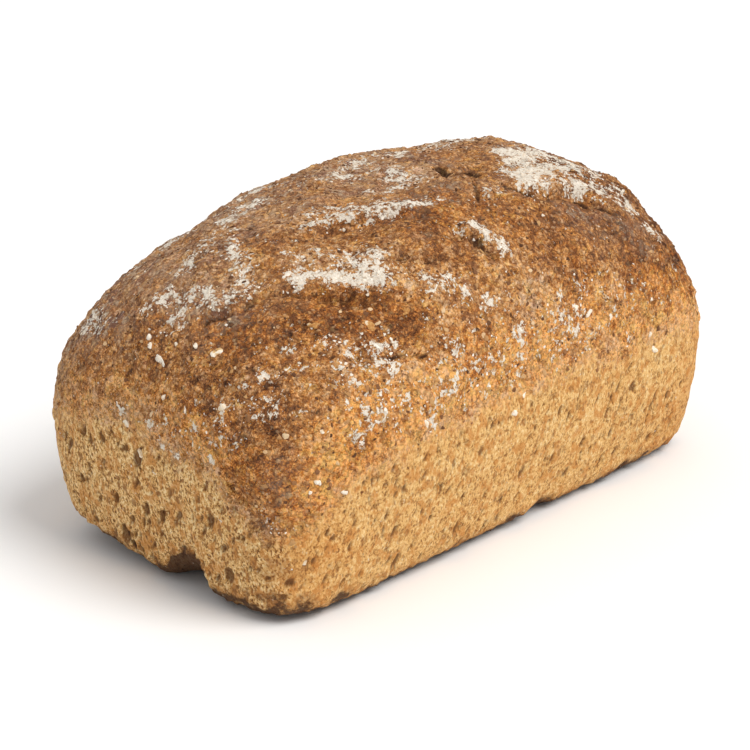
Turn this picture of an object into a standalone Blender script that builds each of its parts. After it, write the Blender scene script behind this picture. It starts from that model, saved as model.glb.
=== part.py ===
"""Spelt bread baked in a tin: one closed loaf with its crust folds, its worn base edge and its larger flakes.

X runs along the loaf, Y across it and Z up from the table. Sizes are in millimetres up to the last step,
where MM turns them into metres.
"""
import math
import random

import bmesh
import bpy
from mathutils import Vector, noise
from mathutils.bvhtree import BVHTree

MM = 0.001
NODE = "loaf"

# Driving sizes of the loaf
LENGTH = 209.4
WIDTH = 125.4
SHOULDER_Z = 54.5
DOME = 51.6

# The tin's shape: how far its sides lean in, its rounded bottom edge, and how square its corners are
TIN_LEAN_X = 5.8
TIN_LEAN_Y = 10.6
TIN_LEAN_CURVE = 1.7
BASE_EDGE = 7.3
BASE_SQUARENESS = 9.3
SHOULDER_SQUARENESS = 5.25

# The risen top: a flat crown with steep flanks that turns from a rounded box to an oval
DOME_FLANK = 3.8
DOME_CROWN = 1.83
CROWN_SQUARENESS = 2.07
CROWN_BLEND = 1.3
CROWN_SHIFT_X = 5.8
CROWN_LEAN = 1.66

# The worn underside: a lifted far corner, the notch torn out of the near end, and a nick in the long side
LIFT_FADE = 25.0
CORNER_LIFT = 6.3
CORNER_REACH = 52.0
NOTCH_Y = -13.0
NOTCH_HEIGHT = 10.5
NOTCH_STEEP_SIDE = 8.0
NOTCH_LONG_SIDE = 17.0
NOTCH_DEPTH = 24.0
NICK_X = 15.0
NICK_HEIGHT = 2.6
NICK_REACH = 9.0

# Crags: height and length of the crust's waves, and of the finer skin that met the tin
CRUST_WAVES = ((1.3, 19.0), (0.8, 8.5))
TIN_WAVES = ((0.35, 16.0), (0.3, 7.5))
CRUST_STARTS_Z = 47.0
CRUST_FULL_Z = 60.0

# Swells and dips of the crust: x, y, z, height and reach
SWELLS = (
    (-37, 42, 94, 1.1, 9),
    (-20, 37, 101, -0.7, 8),
    (0, 35, 103, 1.1, 9),
    (22, 34, 104, 0.8, 12),
    (35, 24, 105, -1.3, 8),
    (58, 15, 104, 0.7, 10),
    (86, -24, 90, 1.8, 8),
    (94, -42, 72, -0.8, 10),
    (-48, 45, 90, -0.9, 8),
)

# Folds of the crust seen from above: a path with its raised lip on the left and its valley on the right,
# then the lip's height, the valley's depth and how far the valley reaches
FOLDS = (
    (((-70, -25), (-62, -34), (-56, -40), (-40, -46)), 1.8, 3.4, 9.0),
    (((-50, -10), (-36, -16), (-22, -21), (-12, -29)), 1.8, 3.0, 7.5),
    (((26, -30), (36, -34), (50, -35), (62, -40)), 1.6, 3.0, 8.0),
    (((-11, -37), (-10, -43), (-3, -49)), 0.9, 1.6, 5.0),
    (((-89, -9), (-83, -15), (-76, -19)), 1.0, 1.5, 6.0),
    (((9, -25), (14, -31), (21, -36)), 0.9, 1.5, 5.0),
)
LIP_REACH = 6.0
FOLD_EDGE = 1.6

# Cracks in the crown: a path and a depth
CRACKS = (
    (((19, -4), (16, -9), (13, -13)), 1.8),
    (((21, -13), (20, -19)), 1.8),
)
CRACK_WIDTH = 2.6

# Fineness of the mesh
CELLS_X = 58
CELLS_Y = 38
WALL_RINGS = 9
EDGE_RINGS = 3
# Rings of the underside, each with half the points of the one outside it: share of the way out and squareness
BASE_RINGS = ((0.86, 8.0), (0.5, 2.2))
BASE_UNEVEN = 0.25
BASE_WAVE = 7.5
SHORTEST_EDGE = 0.06

# Flakes and kernels baked into the crust: number, longest and shortest length, width and thickness shares
FLAKES = 70
FLAKE_LONG = 8.0
FLAKE_SHORT = 4.2
FLAKE_WIDTH = 0.45
FLAKE_THICKNESS = 0.32
FLAKE_SIDES = 6
FLAKE_ROWS = 3
FLAKE_SINK = 0.05
FLAKE_LOW_Z = 30.0
FLAKE_HIGH_Z = 92.0
FLAKE_SEED = 41
GOLDEN_TURN = math.pi * (3 - math.sqrt(5))

CRUST_COLOUR = (0.30, 0.13, 0.045, 1.0)
CRUST_ROUGHNESS = 0.85


def clear_scene():
    """Take away whatever the file opens with."""
    for item in list(bpy.data.objects):
        bpy.data.objects.remove(item, do_unlink=True)


def ramp(value, start, end):
    """Smooth step from 0 at start to 1 at end."""
    share = min(1.0, max(0.0, (value - start) / (end - start)))
    return share * share * (3 - 2 * share)


def bump(distance, reach):
    """Smooth hill that is 1 in its middle and 0 from reach on."""
    return max(0.0, 1 - (distance / reach) ** 2) ** 2


def rounded_box(across, along, squareness):
    """Direction on a square turned into a point of a rounded box whose half sizes are 1."""
    reach = (abs(across) ** squareness + abs(along) ** squareness) ** (-1 / squareness)
    return across * reach, along * reach


def dome_point(u, v):
    """Point of the risen top for a place on the square from -1 to 1, whose rim is the shoulder."""
    step = max(abs(u), abs(v))
    if step == 0:
        return 0.0, 0.0, SHOULDER_Z + DOME
    share = math.sin(step * math.pi / 2)
    rise = max(0.0, 1 - share ** DOME_FLANK) ** (1 / DOME_CROWN)
    squareness = SHOULDER_SQUARENESS + (CROWN_SQUARENESS - SHOULDER_SQUARENESS) * min(1.0, CROWN_BLEND * rise)
    x, y = rounded_box(u / step, v / step, squareness)
    return LENGTH / 2 * share * x, WIDTH / 2 * share * y, SHOULDER_Z + DOME * rise


def base_point(u, v, share, squareness):
    """Point of the underside at a share of the way out to its edge."""
    x, y = rounded_box(u, v, squareness)
    half_x = LENGTH / 2 - TIN_LEAN_X - BASE_EDGE
    half_y = WIDTH / 2 - TIN_LEAN_Y - BASE_EDGE
    return half_x * x * share, half_y * y * share, 0.0


def wall_point(u, v, z):
    """Point of the tin side at height z for a direction on the rim of the square."""
    share = z / SHOULDER_Z
    lean = (1 - share) ** TIN_LEAN_CURVE
    low = max(0.0, 1 - z / BASE_EDGE)
    inset = BASE_EDGE * (1 - math.sqrt(1 - low * low))
    squareness = BASE_SQUARENESS + (SHOULDER_SQUARENESS - BASE_SQUARENESS) * share
    x, y = rounded_box(u, v, squareness)
    half_x = LENGTH / 2 - TIN_LEAN_X * lean - inset
    half_y = WIDTH / 2 - TIN_LEAN_Y * lean - inset
    return half_x * x, half_y * y, z


def underside(x, y):
    """Height of the worn underside above the table."""
    corner = math.hypot(x + LENGTH / 2 - TIN_LEAN_X, y - WIDTH / 2 + TIN_LEAN_Y)
    lift = CORNER_LIFT * bump(corner, CORNER_REACH)
    side = NOTCH_STEEP_SIDE if y < NOTCH_Y else NOTCH_LONG_SIDE
    notch = NOTCH_HEIGHT * bump(y - NOTCH_Y, side) * bump(x + LENGTH / 2, NOTCH_DEPTH)
    nick = NICK_HEIGHT * bump(math.hypot(x - NICK_X, y + WIDTH / 2 - TIN_LEAN_Y), NICK_REACH)
    return max(lift, notch, nick)


def settle(point):
    """Shift and lean the crown as it rose, and lift the low parts off the table where they are worn."""
    x, y, z = point
    high = max(0.0, (z - SHOULDER_Z) / DOME)
    x += CROWN_SHIFT_X * high * high
    z += CROWN_LEAN * high * x / (LENGTH / 2)
    z += underside(x, y) * max(0.0, 1 - z / LIFT_FADE)
    return Vector((x, y, z))


def off_path(x, y, path):
    """Distance to a path seen from above, positive on its left, and the share of its length there."""
    best = None
    lengths = [math.dist(a, b) for a, b in zip(path, path[1:])]
    walked = 0.0
    for (ax, ay), (bx, by), length in zip(path, path[1:], lengths):
        dx, dy = (bx - ax) / length, (by - ay) / length
        along = min(length, max(0.0, (x - ax) * dx + (y - ay) * dy))
        away = math.hypot(x - ax - dx * along, y - ay - dy * along)
        if best is None or away < abs(best[0]):
            left = dx * (y - ay) - dy * (x - ax) >= 0
            best = (away if left else -away, (walked + along) / sum(lengths))
        walked += length
    return best


def fold_height(x, y):
    """Raised lips and sunken valleys of the folds at a place seen from above."""
    height = 0.0
    for path, lip, valley, reach in FOLDS:
        away, share = off_path(x, y, path)
        ends = math.sqrt(math.sin(math.pi * min(0.98, max(0.02, share))))
        edge = ramp(away, -FOLD_EDGE, FOLD_EDGE)
        raised = lip * math.exp(-max(0.0, away) / LIP_REACH)
        sunk = -valley * math.exp(min(0.0, away) / reach)
        height += ends * (raised * edge + sunk * (1 - edge))
    for path, depth in CRACKS:
        away, share = off_path(x, y, path)
        height -= depth * bump(away, CRACK_WIDTH)
    return height


def waves(point, table, offset):
    """Sum of noise waves, each with a height and a length."""
    return sum(height * noise.noise(point / length + Vector((offset, 0, 0))) for height, length in table)


def relief(point):
    """How far the real skin stands off the smooth form at a point."""
    crust = ramp(point.z, CRUST_STARTS_Z, CRUST_FULL_Z)
    height = crust * waves(point, CRUST_WAVES, 3.7) + (1 - crust) * waves(point, TIN_WAVES, 11.2)
    height += crust * fold_height(point.x, point.y)
    for x, y, z, swell, reach in SWELLS:
        height += swell * bump((point - Vector((x, y, z))).length, 2 * reach)
    return height


def square_rim():
    """Grid places round the rim of the square, counterclockwise seen from above."""
    rim = [(i, 0) for i in range(CELLS_X)]
    rim += [(CELLS_X, j) for j in range(CELLS_Y)]
    rim += [(i, CELLS_Y) for i in range(CELLS_X, 0, -1)]
    rim += [(0, j) for j in range(CELLS_Y, 0, -1)]
    return rim


def on_square(i, j):
    """Grid place as a point of the square from -1 to 1."""
    return 2 * i / CELLS_X - 1, 2 * j / CELLS_Y - 1


def wall_heights():
    """Heights of the rings from just under the shoulder down to the table, closer round the bottom edge."""
    heights = [SHOULDER_Z - (SHOULDER_Z - BASE_EDGE) * ring / WALL_RINGS for ring in range(1, WALL_RINGS + 1)]
    turn = math.pi / 2 / EDGE_RINGS
    heights += [BASE_EDGE * (1 - math.sin(turn * ring)) for ring in range(1, EDGE_RINGS + 1)]
    return heights


def bridge(mesh, upper, lower):
    """Faces between two closed rings of as many points."""
    count = len(upper)
    for k in range(count):
        following = (k + 1) % count
        mesh.faces.new((upper[following], upper[k], lower[k], lower[following]))


def bridge_half(mesh, outer, inner):
    """Faces between a closed ring and one inside it with half as many points."""
    for k, point in enumerate(inner):
        start, middle = outer[2 * k], outer[2 * k + 1]
        end = outer[(2 * k + 2) % len(outer)]
        following = inner[(k + 1) % len(inner)]
        mesh.faces.new((middle, start, point))
        mesh.faces.new((middle, point, following))
        mesh.faces.new((end, middle, following))


def smooth_form():
    """Closed mesh of the loaf without its relief: a grid for the top, rings down the sides, rings and a cap below."""
    mesh = bmesh.new()
    top = {}
    for i in range(CELLS_X + 1):
        for j in range(CELLS_Y + 1):
            top[i, j] = mesh.verts.new(settle(dome_point(*on_square(i, j))))
    for i in range(CELLS_X):
        for j in range(CELLS_Y):
            mesh.faces.new((top[i, j], top[i + 1, j], top[i + 1, j + 1], top[i, j + 1]))
    rim = square_rim()
    ring = [top[place] for place in rim]
    for z in wall_heights():
        lower = [mesh.verts.new(settle(wall_point(*on_square(*place), z))) for place in rim]
        bridge(mesh, ring, lower)
        ring = lower
    for share, squareness in BASE_RINGS:
        rim = rim[::2]
        inner = [mesh.verts.new(settle(base_point(*on_square(*place), share, squareness))) for place in rim]
        bridge_half(mesh, ring, inner)
        ring = inner
    mesh.faces.new(reversed(ring))
    bmesh.ops.recalc_face_normals(mesh, faces=mesh.faces)
    mesh.normal_update()
    return mesh


def add_relief(mesh):
    """Push each point of the skin out or in; the cap that the loaf stands on stays flat."""
    cap = max(mesh.faces, key=lambda face: len(face.verts))
    moves = []
    for vert in set(mesh.verts) - set(cap.verts):
        above = ramp(vert.co.z - underside(vert.co.x, vert.co.y), 0.0, BASE_EDGE)
        uneven = BASE_UNEVEN * (1 - above) * (1 + noise.noise(vert.co / BASE_WAVE))
        moves.append((vert, vert.normal * relief(vert.co) * above + Vector((0, 0, uneven))))
    for vert, move in moves:
        vert.co += move
    mesh.normal_update()


def add_flake(mesh, spot, normal, turn, length):
    """One flat flake lying in the crust at a spot, about half of it buried."""
    half = Vector((length, length * FLAKE_WIDTH, length * FLAKE_THICKNESS)) / 2
    facing = normal.to_track_quat("Z", "Y").to_matrix().to_4x4()
    ball = bmesh.ops.create_uvsphere(mesh, u_segments=FLAKE_SIDES, v_segments=FLAKE_ROWS, radius=1.0)
    for vert in ball["verts"]:
        x, y, z = vert.co.x * half.x, vert.co.y * half.y, vert.co.z * half.z
        flat = Vector((x * math.cos(turn) - y * math.sin(turn), x * math.sin(turn) + y * math.cos(turn), z))
        vert.co = spot + facing @ flat - normal * length * FLAKE_SINK


def flakes_on(mesh):
    """Mesh of the flakes, spread round the loaf by the golden turn, the largest first."""
    rays = BVHTree.FromBMesh(mesh)
    draw = random.Random(FLAKE_SEED)
    flakes = bmesh.new()
    for number in range(FLAKES):
        share = (number + 0.5) / FLAKES
        turn = number * GOLDEN_TURN
        height = FLAKE_LOW_Z + (FLAKE_HIGH_Z - FLAKE_LOW_Z) * (number * GOLDEN_TURN * 0.37 % 1.0)
        outward = Vector((math.cos(turn) * LENGTH, math.sin(turn) * LENGTH, 0))
        spot, normal, _, _ = rays.ray_cast(outward + Vector((0, 0, height)), -outward)
        length = FLAKE_LONG + (FLAKE_SHORT - FLAKE_LONG) * math.sqrt(share)
        add_flake(flakes, spot, normal, draw.uniform(0, math.pi), length)
    return flakes


def to_object(mesh, name):
    """Turn a mesh in millimetres into an object in metres."""
    bmesh.ops.scale(mesh, vec=(MM, MM, MM), verts=mesh.verts)
    data = bpy.data.meshes.new(name)
    mesh.to_mesh(data)
    mesh.free()
    item = bpy.data.objects.new(name, data)
    bpy.context.scene.collection.objects.link(item)
    return item


def fuse(body, grains):
    """Join the grains to the body with one Boolean union, and take them away."""
    group = bpy.data.collections.new("grains")
    bpy.context.scene.collection.children.link(group)
    bpy.context.scene.collection.objects.unlink(grains)
    group.objects.link(grains)
    union = body.modifiers.new("fused_grains", "BOOLEAN")
    union.operation = "UNION"
    union.operand_type = "COLLECTION"
    union.collection = group
    union.solver = "MANIFOLD"
    fused = bpy.data.meshes.new_from_object(body.evaluated_get(bpy.context.evaluated_depsgraph_get()))
    body.modifiers.clear()
    body.data = fused
    bpy.data.objects.remove(grains, do_unlink=True)
    bpy.data.collections.remove(group)


def tidy_solid(body):
    """Triangles only, no slivers, and the whole centred over the origin on the table."""
    mesh = bmesh.new()
    mesh.from_mesh(body.data)
    bmesh.ops.triangulate(mesh, faces=mesh.faces)
    bmesh.ops.remove_doubles(mesh, verts=mesh.verts, dist=SHORTEST_EDGE * MM)
    bmesh.ops.dissolve_degenerate(mesh, dist=SHORTEST_EDGE * MM, edges=mesh.edges)
    bmesh.ops.triangulate(mesh, faces=mesh.faces)
    low = [min(vert.co[axis] for vert in mesh.verts) for axis in range(3)]
    high = [max(vert.co[axis] for vert in mesh.verts) for axis in range(3)]
    centre = Vector(((low[0] + high[0]) / 2, (low[1] + high[1]) / 2, low[2]))
    bmesh.ops.translate(mesh, vec=-centre, verts=mesh.verts)
    mesh.to_mesh(body.data)
    mesh.free()
    body.data.shade_smooth()


def crust_material():
    """Browned crust."""
    material = bpy.data.materials.new("browned_crust")
    material.use_nodes = True
    shader = material.node_tree.nodes["Principled BSDF"]
    shader.inputs["Base Color"].default_value = CRUST_COLOUR
    shader.inputs["Roughness"].default_value = CRUST_ROUGHNESS
    shader.inputs["Metallic"].default_value = 0.0
    return material


def build():
    """Make the whole loaf."""
    clear_scene()
    form = smooth_form()
    add_relief(form)
    grains = to_object(flakes_on(form), "grains")
    body = to_object(form, NODE)
    fuse(body, grains)
    tidy_solid(body)
    body.data.materials.clear()
    body.data.materials.append(crust_material())


build()
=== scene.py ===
"""Dresses the spelt tin loaf: baked skin, flour, flakes, kernels and crumbs, on a pale studio floor.

Sizes and places are in millimetres, with X along the loaf, Y across it and Z up from the floor. MM turns them
into metres where a mesh, a light or the camera is made.
"""
from __future__ import annotations

import logging
import math
import random
from dataclasses import dataclass, field
from enum import Enum
from typing import Any, Sequence

import bmesh
import bpy
import numpy as np
from mathutils import Matrix, Vector, noise
from mathutils.bvhtree import BVHTree
from mathutils.kdtree import KDTree


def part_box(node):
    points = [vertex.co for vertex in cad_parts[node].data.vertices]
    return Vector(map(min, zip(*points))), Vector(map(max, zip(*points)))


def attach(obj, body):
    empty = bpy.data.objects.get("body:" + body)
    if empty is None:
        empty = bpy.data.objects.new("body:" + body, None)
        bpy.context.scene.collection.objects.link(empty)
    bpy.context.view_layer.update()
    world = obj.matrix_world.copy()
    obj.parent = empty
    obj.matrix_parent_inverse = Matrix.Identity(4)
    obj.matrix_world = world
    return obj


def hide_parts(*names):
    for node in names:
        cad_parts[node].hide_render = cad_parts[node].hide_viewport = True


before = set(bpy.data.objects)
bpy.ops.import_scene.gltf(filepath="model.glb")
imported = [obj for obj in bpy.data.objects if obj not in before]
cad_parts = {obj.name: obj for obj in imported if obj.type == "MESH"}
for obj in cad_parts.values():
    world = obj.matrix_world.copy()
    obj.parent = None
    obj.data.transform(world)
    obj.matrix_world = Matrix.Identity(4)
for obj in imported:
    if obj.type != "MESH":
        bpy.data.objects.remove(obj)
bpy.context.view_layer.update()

MM = 0.001
NODE = "loaf"
BODY = "root"
GOLDEN_TURN = math.pi * (3 - math.sqrt(5))
NOISE_SEED = 7
SHEEN = 0.2
Colour = tuple[float, float, float]
Place = tuple[float, float]
Stops = Sequence[tuple[float, Colour]]
log = logging.getLogger("spelt_loaf")


def ramp(value: np.ndarray, start: float, end: float) -> np.ndarray:
    """Smooth step from 0 at start to 1 at end.

    Args:
        value: Numbers to place on the step.
        start: Where the step begins.
        end: Where it is done.

    Returns:
        Numbers from 0 to 1.
    """
    share = np.clip((value - start) / (end - start), 0.0, 1.0)
    return share * share * (3 - 2 * share)


def bump(distance: np.ndarray, reach: float) -> np.ndarray:
    """Smooth hill that is 1 in its middle and 0 from reach on.

    Args:
        distance: Distances from the hill's middle.
        reach: Where the hill ends.

    Returns:
        Numbers from 0 to 1.
    """
    return np.maximum(0.0, 1 - (distance / reach) ** 2) ** 2


def waves(points: np.ndarray, length: float, offset: float = 0.0) -> np.ndarray:
    """Smooth noise of one wavelength at each point.

    Args:
        points: Places, one row each.
        length: Size of the noise's waves.
        offset: Shift that makes this noise differ from others.

    Returns:
        Numbers from about -1 to 1.
    """
    shift = Vector((offset, 0.0, 0.0))
    return np.array([noise.noise(Vector(point) / length + shift) for point in points])


def swirled(points: np.ndarray, length: float, amount: float) -> np.ndarray:
    """Points pushed about by smooth noise, so that what is drawn over them loses its even edge.

    Args:
        points: Places, one row each.
        length: Size of the noise's waves.
        amount: How far a point moves at most, about.

    Returns:
        The moved places.
    """
    noise.seed_set(NOISE_SEED)
    return points + amount * np.array([noise.noise_vector(Vector(point) / length) for point in points])


def off_path(x: np.ndarray, y: np.ndarray, path: Sequence[Place]) -> tuple[np.ndarray, np.ndarray]:
    """Distance to a path in a plane, positive on its left.

    Args:
        x: First coordinates.
        y: Second coordinates.
        path: Corner points of the path.

    Returns:
        Signed distances, and the share of the path's length at each nearest point.
    """
    lengths = [math.dist(a, b) for a, b in zip(path, path[1:])]
    best = np.full(x.shape, np.inf)
    share = np.zeros(x.shape)
    walked = 0.0
    for (ax, ay), (bx, by), length in zip(path, path[1:], lengths):
        dx, dy = (bx - ax) / length, (by - ay) / length
        along = np.clip((x - ax) * dx + (y - ay) * dy, 0.0, length)
        away = np.hypot(x - ax - dx * along, y - ay - dy * along)
        side = np.where(dx * (y - ay) - dy * (x - ax) >= 0, 1.0, -1.0)
        closer = away < np.abs(best)
        best = np.where(closer, side * away, best)
        share = np.where(closer, (walked + along) / sum(lengths), share)
        walked += length
    return best, share


class Face(Enum):
    """Side of the loaf that a mark is drawn on, by the two axes that it is measured along."""

    TOP = (0, 1, 2, 1.0)
    LONG_SIDE = (0, 2, 1, -1.0)
    NEAR_END = (1, 2, 0, -1.0)

    def seen(self, points: np.ndarray, normals: np.ndarray) -> tuple[np.ndarray, np.ndarray, np.ndarray]:
        """Lay points out on this side.

        Args:
            points: Places on the skin.
            normals: Outward directions there.

        Returns:
            Both coordinates on the side, and how squarely each point faces it, from 0 to 1.
        """
        first, second, axis, sign = self.value
        return points[:, first], points[:, second], ramp(normals[:, axis] * sign, 0.25, 0.6)


@dataclass(frozen=True)
class Fold:
    """A lip of crust that stands over a sunken valley, along a path seen from above."""

    path: tuple[Place, ...]
    lip: float
    valley: float
    reach: float


@dataclass(frozen=True)
class Crack:
    """A short split in the crown."""

    path: tuple[Place, ...]
    depth: float


@dataclass(frozen=True)
class Swell:
    """A local swelling or dip of the crust."""

    place: tuple[float, float, float]
    height: float
    reach: float


@dataclass(frozen=True)
class Mark:
    """A soft-edged patch along a path on one side of the loaf."""

    face: Face
    path: tuple[Place, ...]
    width: float
    amount: float

    def over(self, points: np.ndarray, normals: np.ndarray) -> np.ndarray:
        """Strength of the patch at each point.

        Args:
            points: Places on the skin.
            normals: Outward directions there.

        Returns:
            Numbers from 0 to the mark's amount.
        """
        first, second, facing = self.face.seen(points, normals)
        away, _ = off_path(first, second, self.path)
        return self.amount * facing * np.exp(-(away / self.width) ** 2)


@dataclass(frozen=True)
class Pit:
    """A pore that opened against the tin."""

    face: Face
    place: Place
    width: float
    height: float
    depth: float


@dataclass
class LoafForm:
    """The loaf's true form: tin sides, risen top, folds, swells and worn underside."""

    length: float = 209.4
    width: float = 125.4
    shoulder_z: float = 54.5
    dome: float = 51.6
    tin_lean_x: float = 5.8
    tin_lean_y: float = 10.6
    tin_lean_curve: float = 1.7
    base_edge: float = 7.3
    base_squareness: float = 9.3
    shoulder_squareness: float = 5.25
    dome_flank: float = 3.8
    dome_crown: float = 1.83
    crown_squareness: float = 2.07
    crown_blend: float = 1.3
    crown_shift_x: float = 5.8
    crown_lean: float = 1.66
    lift_fade: float = 25.0
    corner_lift: float = 6.3
    corner_reach: float = 52.0
    notch_y: float = -13.0
    notch_height: float = 10.5
    notch_steep_side: float = 8.0
    notch_long_side: float = 17.0
    notch_depth: float = 24.0
    nick_x: float = 15.0
    nick_height: float = 2.6
    nick_reach: float = 9.0
    lip_reach: float = 6.0
    fold_edge: float = 1.1
    crack_width: float = 2.2
    crust_starts_z: float = 47.0
    crust_full_z: float = 60.0
    crust_waves: tuple[Place, ...] = ((1.3, 19.0), (0.8, 8.5))
    crust_wave_shift: float = 3.7
    tin_waves: tuple[Place, ...] = ((0.35, 16.0), (0.3, 7.5))
    tin_wave_shift: float = 11.2
    folds: tuple[Fold, ...] = (
        Fold(((-70, -25), (-62, -34), (-56, -40), (-40, -46)), 1.8, 3.4, 9.0),
        Fold(((-50, -10), (-36, -16), (-22, -21), (-12, -29)), 1.8, 3.0, 7.5),
        Fold(((26, -30), (36, -34), (50, -35), (62, -40)), 1.6, 3.0, 8.0),
        Fold(((-11, -37), (-10, -43), (-3, -49)), 0.9, 1.6, 5.0),
        Fold(((-89, -9), (-83, -15), (-76, -19)), 1.0, 1.5, 6.0),
        Fold(((9, -25), (14, -31), (21, -36)), 0.9, 1.5, 5.0),
    )
    cracks: tuple[Crack, ...] = (
        Crack(((19, -4), (16, -9), (13, -13)), 1.8),
        Crack(((21, -13), (20, -19)), 1.8),
    )
    swells: tuple[Swell, ...] = (
        Swell((-37, 42, 94), 1.1, 9),
        Swell((-20, 37, 101), -0.7, 8),
        Swell((0, 35, 103), 1.1, 9),
        Swell((22, 34, 104), 0.8, 12),
        Swell((35, 24, 105), -1.3, 8),
        Swell((58, 15, 104), 0.7, 10),
        Swell((86, -24, 90), 1.8, 8),
        Swell((94, -42, 72), -0.8, 10),
        Swell((-48, 45, 90), -0.9, 8),
    )

    def rounded_box(self, u: np.ndarray, v: np.ndarray, squareness: np.ndarray | float) -> tuple:
        """Turn directions on a square into points of a rounded box whose half sizes are 1.

        Args:
            u: Directions along the square.
            v: Directions across it.
            squareness: 2 gives an oval, and more gives squarer corners.

        Returns:
            Places along and across.
        """
        spread = np.maximum(np.abs(u) ** squareness + np.abs(v) ** squareness, 1e-12)
        reach = spread ** (-1 / squareness)
        return u * reach, v * reach

    def dome_points(self, u: np.ndarray, v: np.ndarray) -> np.ndarray:
        """Points of the risen top.

        Args:
            u: Places along the square from -1 to 1, whose rim is the shoulder.
            v: Places across it.

        Returns:
            One row for each point.
        """
        step = np.maximum(np.maximum(np.abs(u), np.abs(v)), 1e-9)
        share = np.sin(np.minimum(step, 1.0) * math.pi / 2)
        rise = np.maximum(0.0, 1 - share ** self.dome_flank) ** (1 / self.dome_crown)
        turned = np.minimum(1.0, self.crown_blend * rise)
        squareness = self.shoulder_squareness + (self.crown_squareness - self.shoulder_squareness) * turned
        x, y = self.rounded_box(u / step, v / step, squareness)
        z = self.shoulder_z + self.dome * rise
        return np.stack([self.length / 2 * share * x, self.width / 2 * share * y, z], 1)

    def wall_points(self, u: np.ndarray, v: np.ndarray, z: float) -> np.ndarray:
        """Points of the tin side at one height.

        Args:
            u: Directions on the square's rim, along.
            v: Directions on the square's rim, across.
            z: Height above the floor.

        Returns:
            One row for each point.
        """
        share = z / self.shoulder_z
        lean = (1 - share) ** self.tin_lean_curve
        low = max(0.0, 1 - z / self.base_edge)
        inset = self.base_edge * (1 - math.sqrt(1 - low * low))
        squareness = self.base_squareness + (self.shoulder_squareness - self.base_squareness) * share
        x, y = self.rounded_box(u, v, squareness)
        half_x = self.length / 2 - self.tin_lean_x * lean - inset
        half_y = self.width / 2 - self.tin_lean_y * lean - inset
        return np.stack([half_x * x, half_y * y, np.full(len(x), z)], 1)

    def base_points(self, u: np.ndarray, v: np.ndarray, share: float, squareness: float) -> np.ndarray:
        """Points of one ring of the underside.

        Args:
            u: Directions along the square.
            v: Directions across it.
            share: How far out to the edge the ring lies.
            squareness: How square the ring is.

        Returns:
            One row for each point.
        """
        x, y = self.rounded_box(u, v, squareness)
        half_x = (self.length / 2 - self.tin_lean_x - self.base_edge) * share
        half_y = (self.width / 2 - self.tin_lean_y - self.base_edge) * share
        return np.stack([half_x * x, half_y * y, np.zeros(len(x))], 1)

    def notch(self, x: np.ndarray, y: np.ndarray) -> np.ndarray:
        """Height of the notch torn out of the near end's base edge.

        Args:
            x: Places along the loaf.
            y: Places across it.

        Returns:
            Heights above the floor, 0 outside the notch.
        """
        away = y - self.notch_y
        across = np.where(away < 0, bump(away, self.notch_steep_side), bump(away, self.notch_long_side))
        return self.notch_height * across * bump(x + self.length / 2, self.notch_depth)

    def underside(self, x: np.ndarray, y: np.ndarray) -> np.ndarray:
        """Height of the worn underside above the floor.

        Args:
            x: Places along the loaf.
            y: Places across it.

        Returns:
            Heights above the floor.
        """
        corner = np.hypot(x + self.length / 2 - self.tin_lean_x, y - self.width / 2 + self.tin_lean_y)
        lift = self.corner_lift * bump(corner, self.corner_reach)
        edge = np.hypot(x - self.nick_x, y + self.width / 2 - self.tin_lean_y)
        nick = self.nick_height * bump(edge, self.nick_reach)
        return np.maximum(np.maximum(lift, nick), self.notch(x, y))

    def settle(self, points: np.ndarray) -> np.ndarray:
        """Shift and lean the crown as it rose, and lift the worn low parts off the floor.

        Args:
            points: Places on the even form.

        Returns:
            Places on the smooth form.
        """
        x, y, z = points.T.copy()
        high = np.maximum(0.0, (z - self.shoulder_z) / self.dome)
        x += self.crown_shift_x * high * high
        z += self.crown_lean * high * x / (self.length / 2)
        z += self.underside(x, y) * np.maximum(0.0, 1 - z / self.lift_fade)
        return np.stack([x, y, z], 1)

    def crust(self, points: np.ndarray) -> np.ndarray:
        """How far each point is up in the open crust, from 0 on the tin sides to 1."""
        return ramp(points[:, 2], self.crust_starts_z, self.crust_full_z)

    def fold_height(self, points: np.ndarray) -> np.ndarray:
        """Raised lips and sunken valleys of the folds and cracks.

        Args:
            points: Places on the smooth form.

        Returns:
            Heights over it.
        """
        x, y = points[:, 0], points[:, 1]
        height = np.zeros(len(points))
        for fold in self.folds:
            away, share = off_path(x, y, fold.path)
            ends = np.sqrt(np.sin(math.pi * np.clip(share, 0.02, 0.98)))
            edge = ramp(away, -self.fold_edge, self.fold_edge)
            raised = fold.lip * np.exp(-np.maximum(0.0, away) / self.lip_reach)
            sunk = -fold.valley * np.exp(np.minimum(0.0, away) / fold.reach)
            height += ends * (raised * edge + sunk * (1 - edge))
        for crack in self.cracks:
            height -= crack.depth * bump(off_path(x, y, crack.path)[0], self.crack_width)
        return height

    def relief(self, points: np.ndarray) -> np.ndarray:
        """How far the real skin stands off the smooth form.

        Args:
            points: Places on the smooth form.

        Returns:
            Heights over it.
        """
        crust = self.crust(points)
        height = crust * self.fold_height(points)
        for amount, size in self.crust_waves:
            height += crust * amount * waves(points, size, self.crust_wave_shift)
        for amount, size in self.tin_waves:
            height += (1 - crust) * amount * waves(points, size, self.tin_wave_shift)
        for swell in self.swells:
            away = np.linalg.norm(points - np.array(swell.place), axis=1)
            height += swell.height * bump(away, 2 * swell.reach)
        return height


@dataclass(frozen=True)
class Grain:
    """Fine roughness of one length, as a height on the open crust and on the tin sides."""

    length: float
    on_crust: float
    on_tin: float
    offset: float


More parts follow.
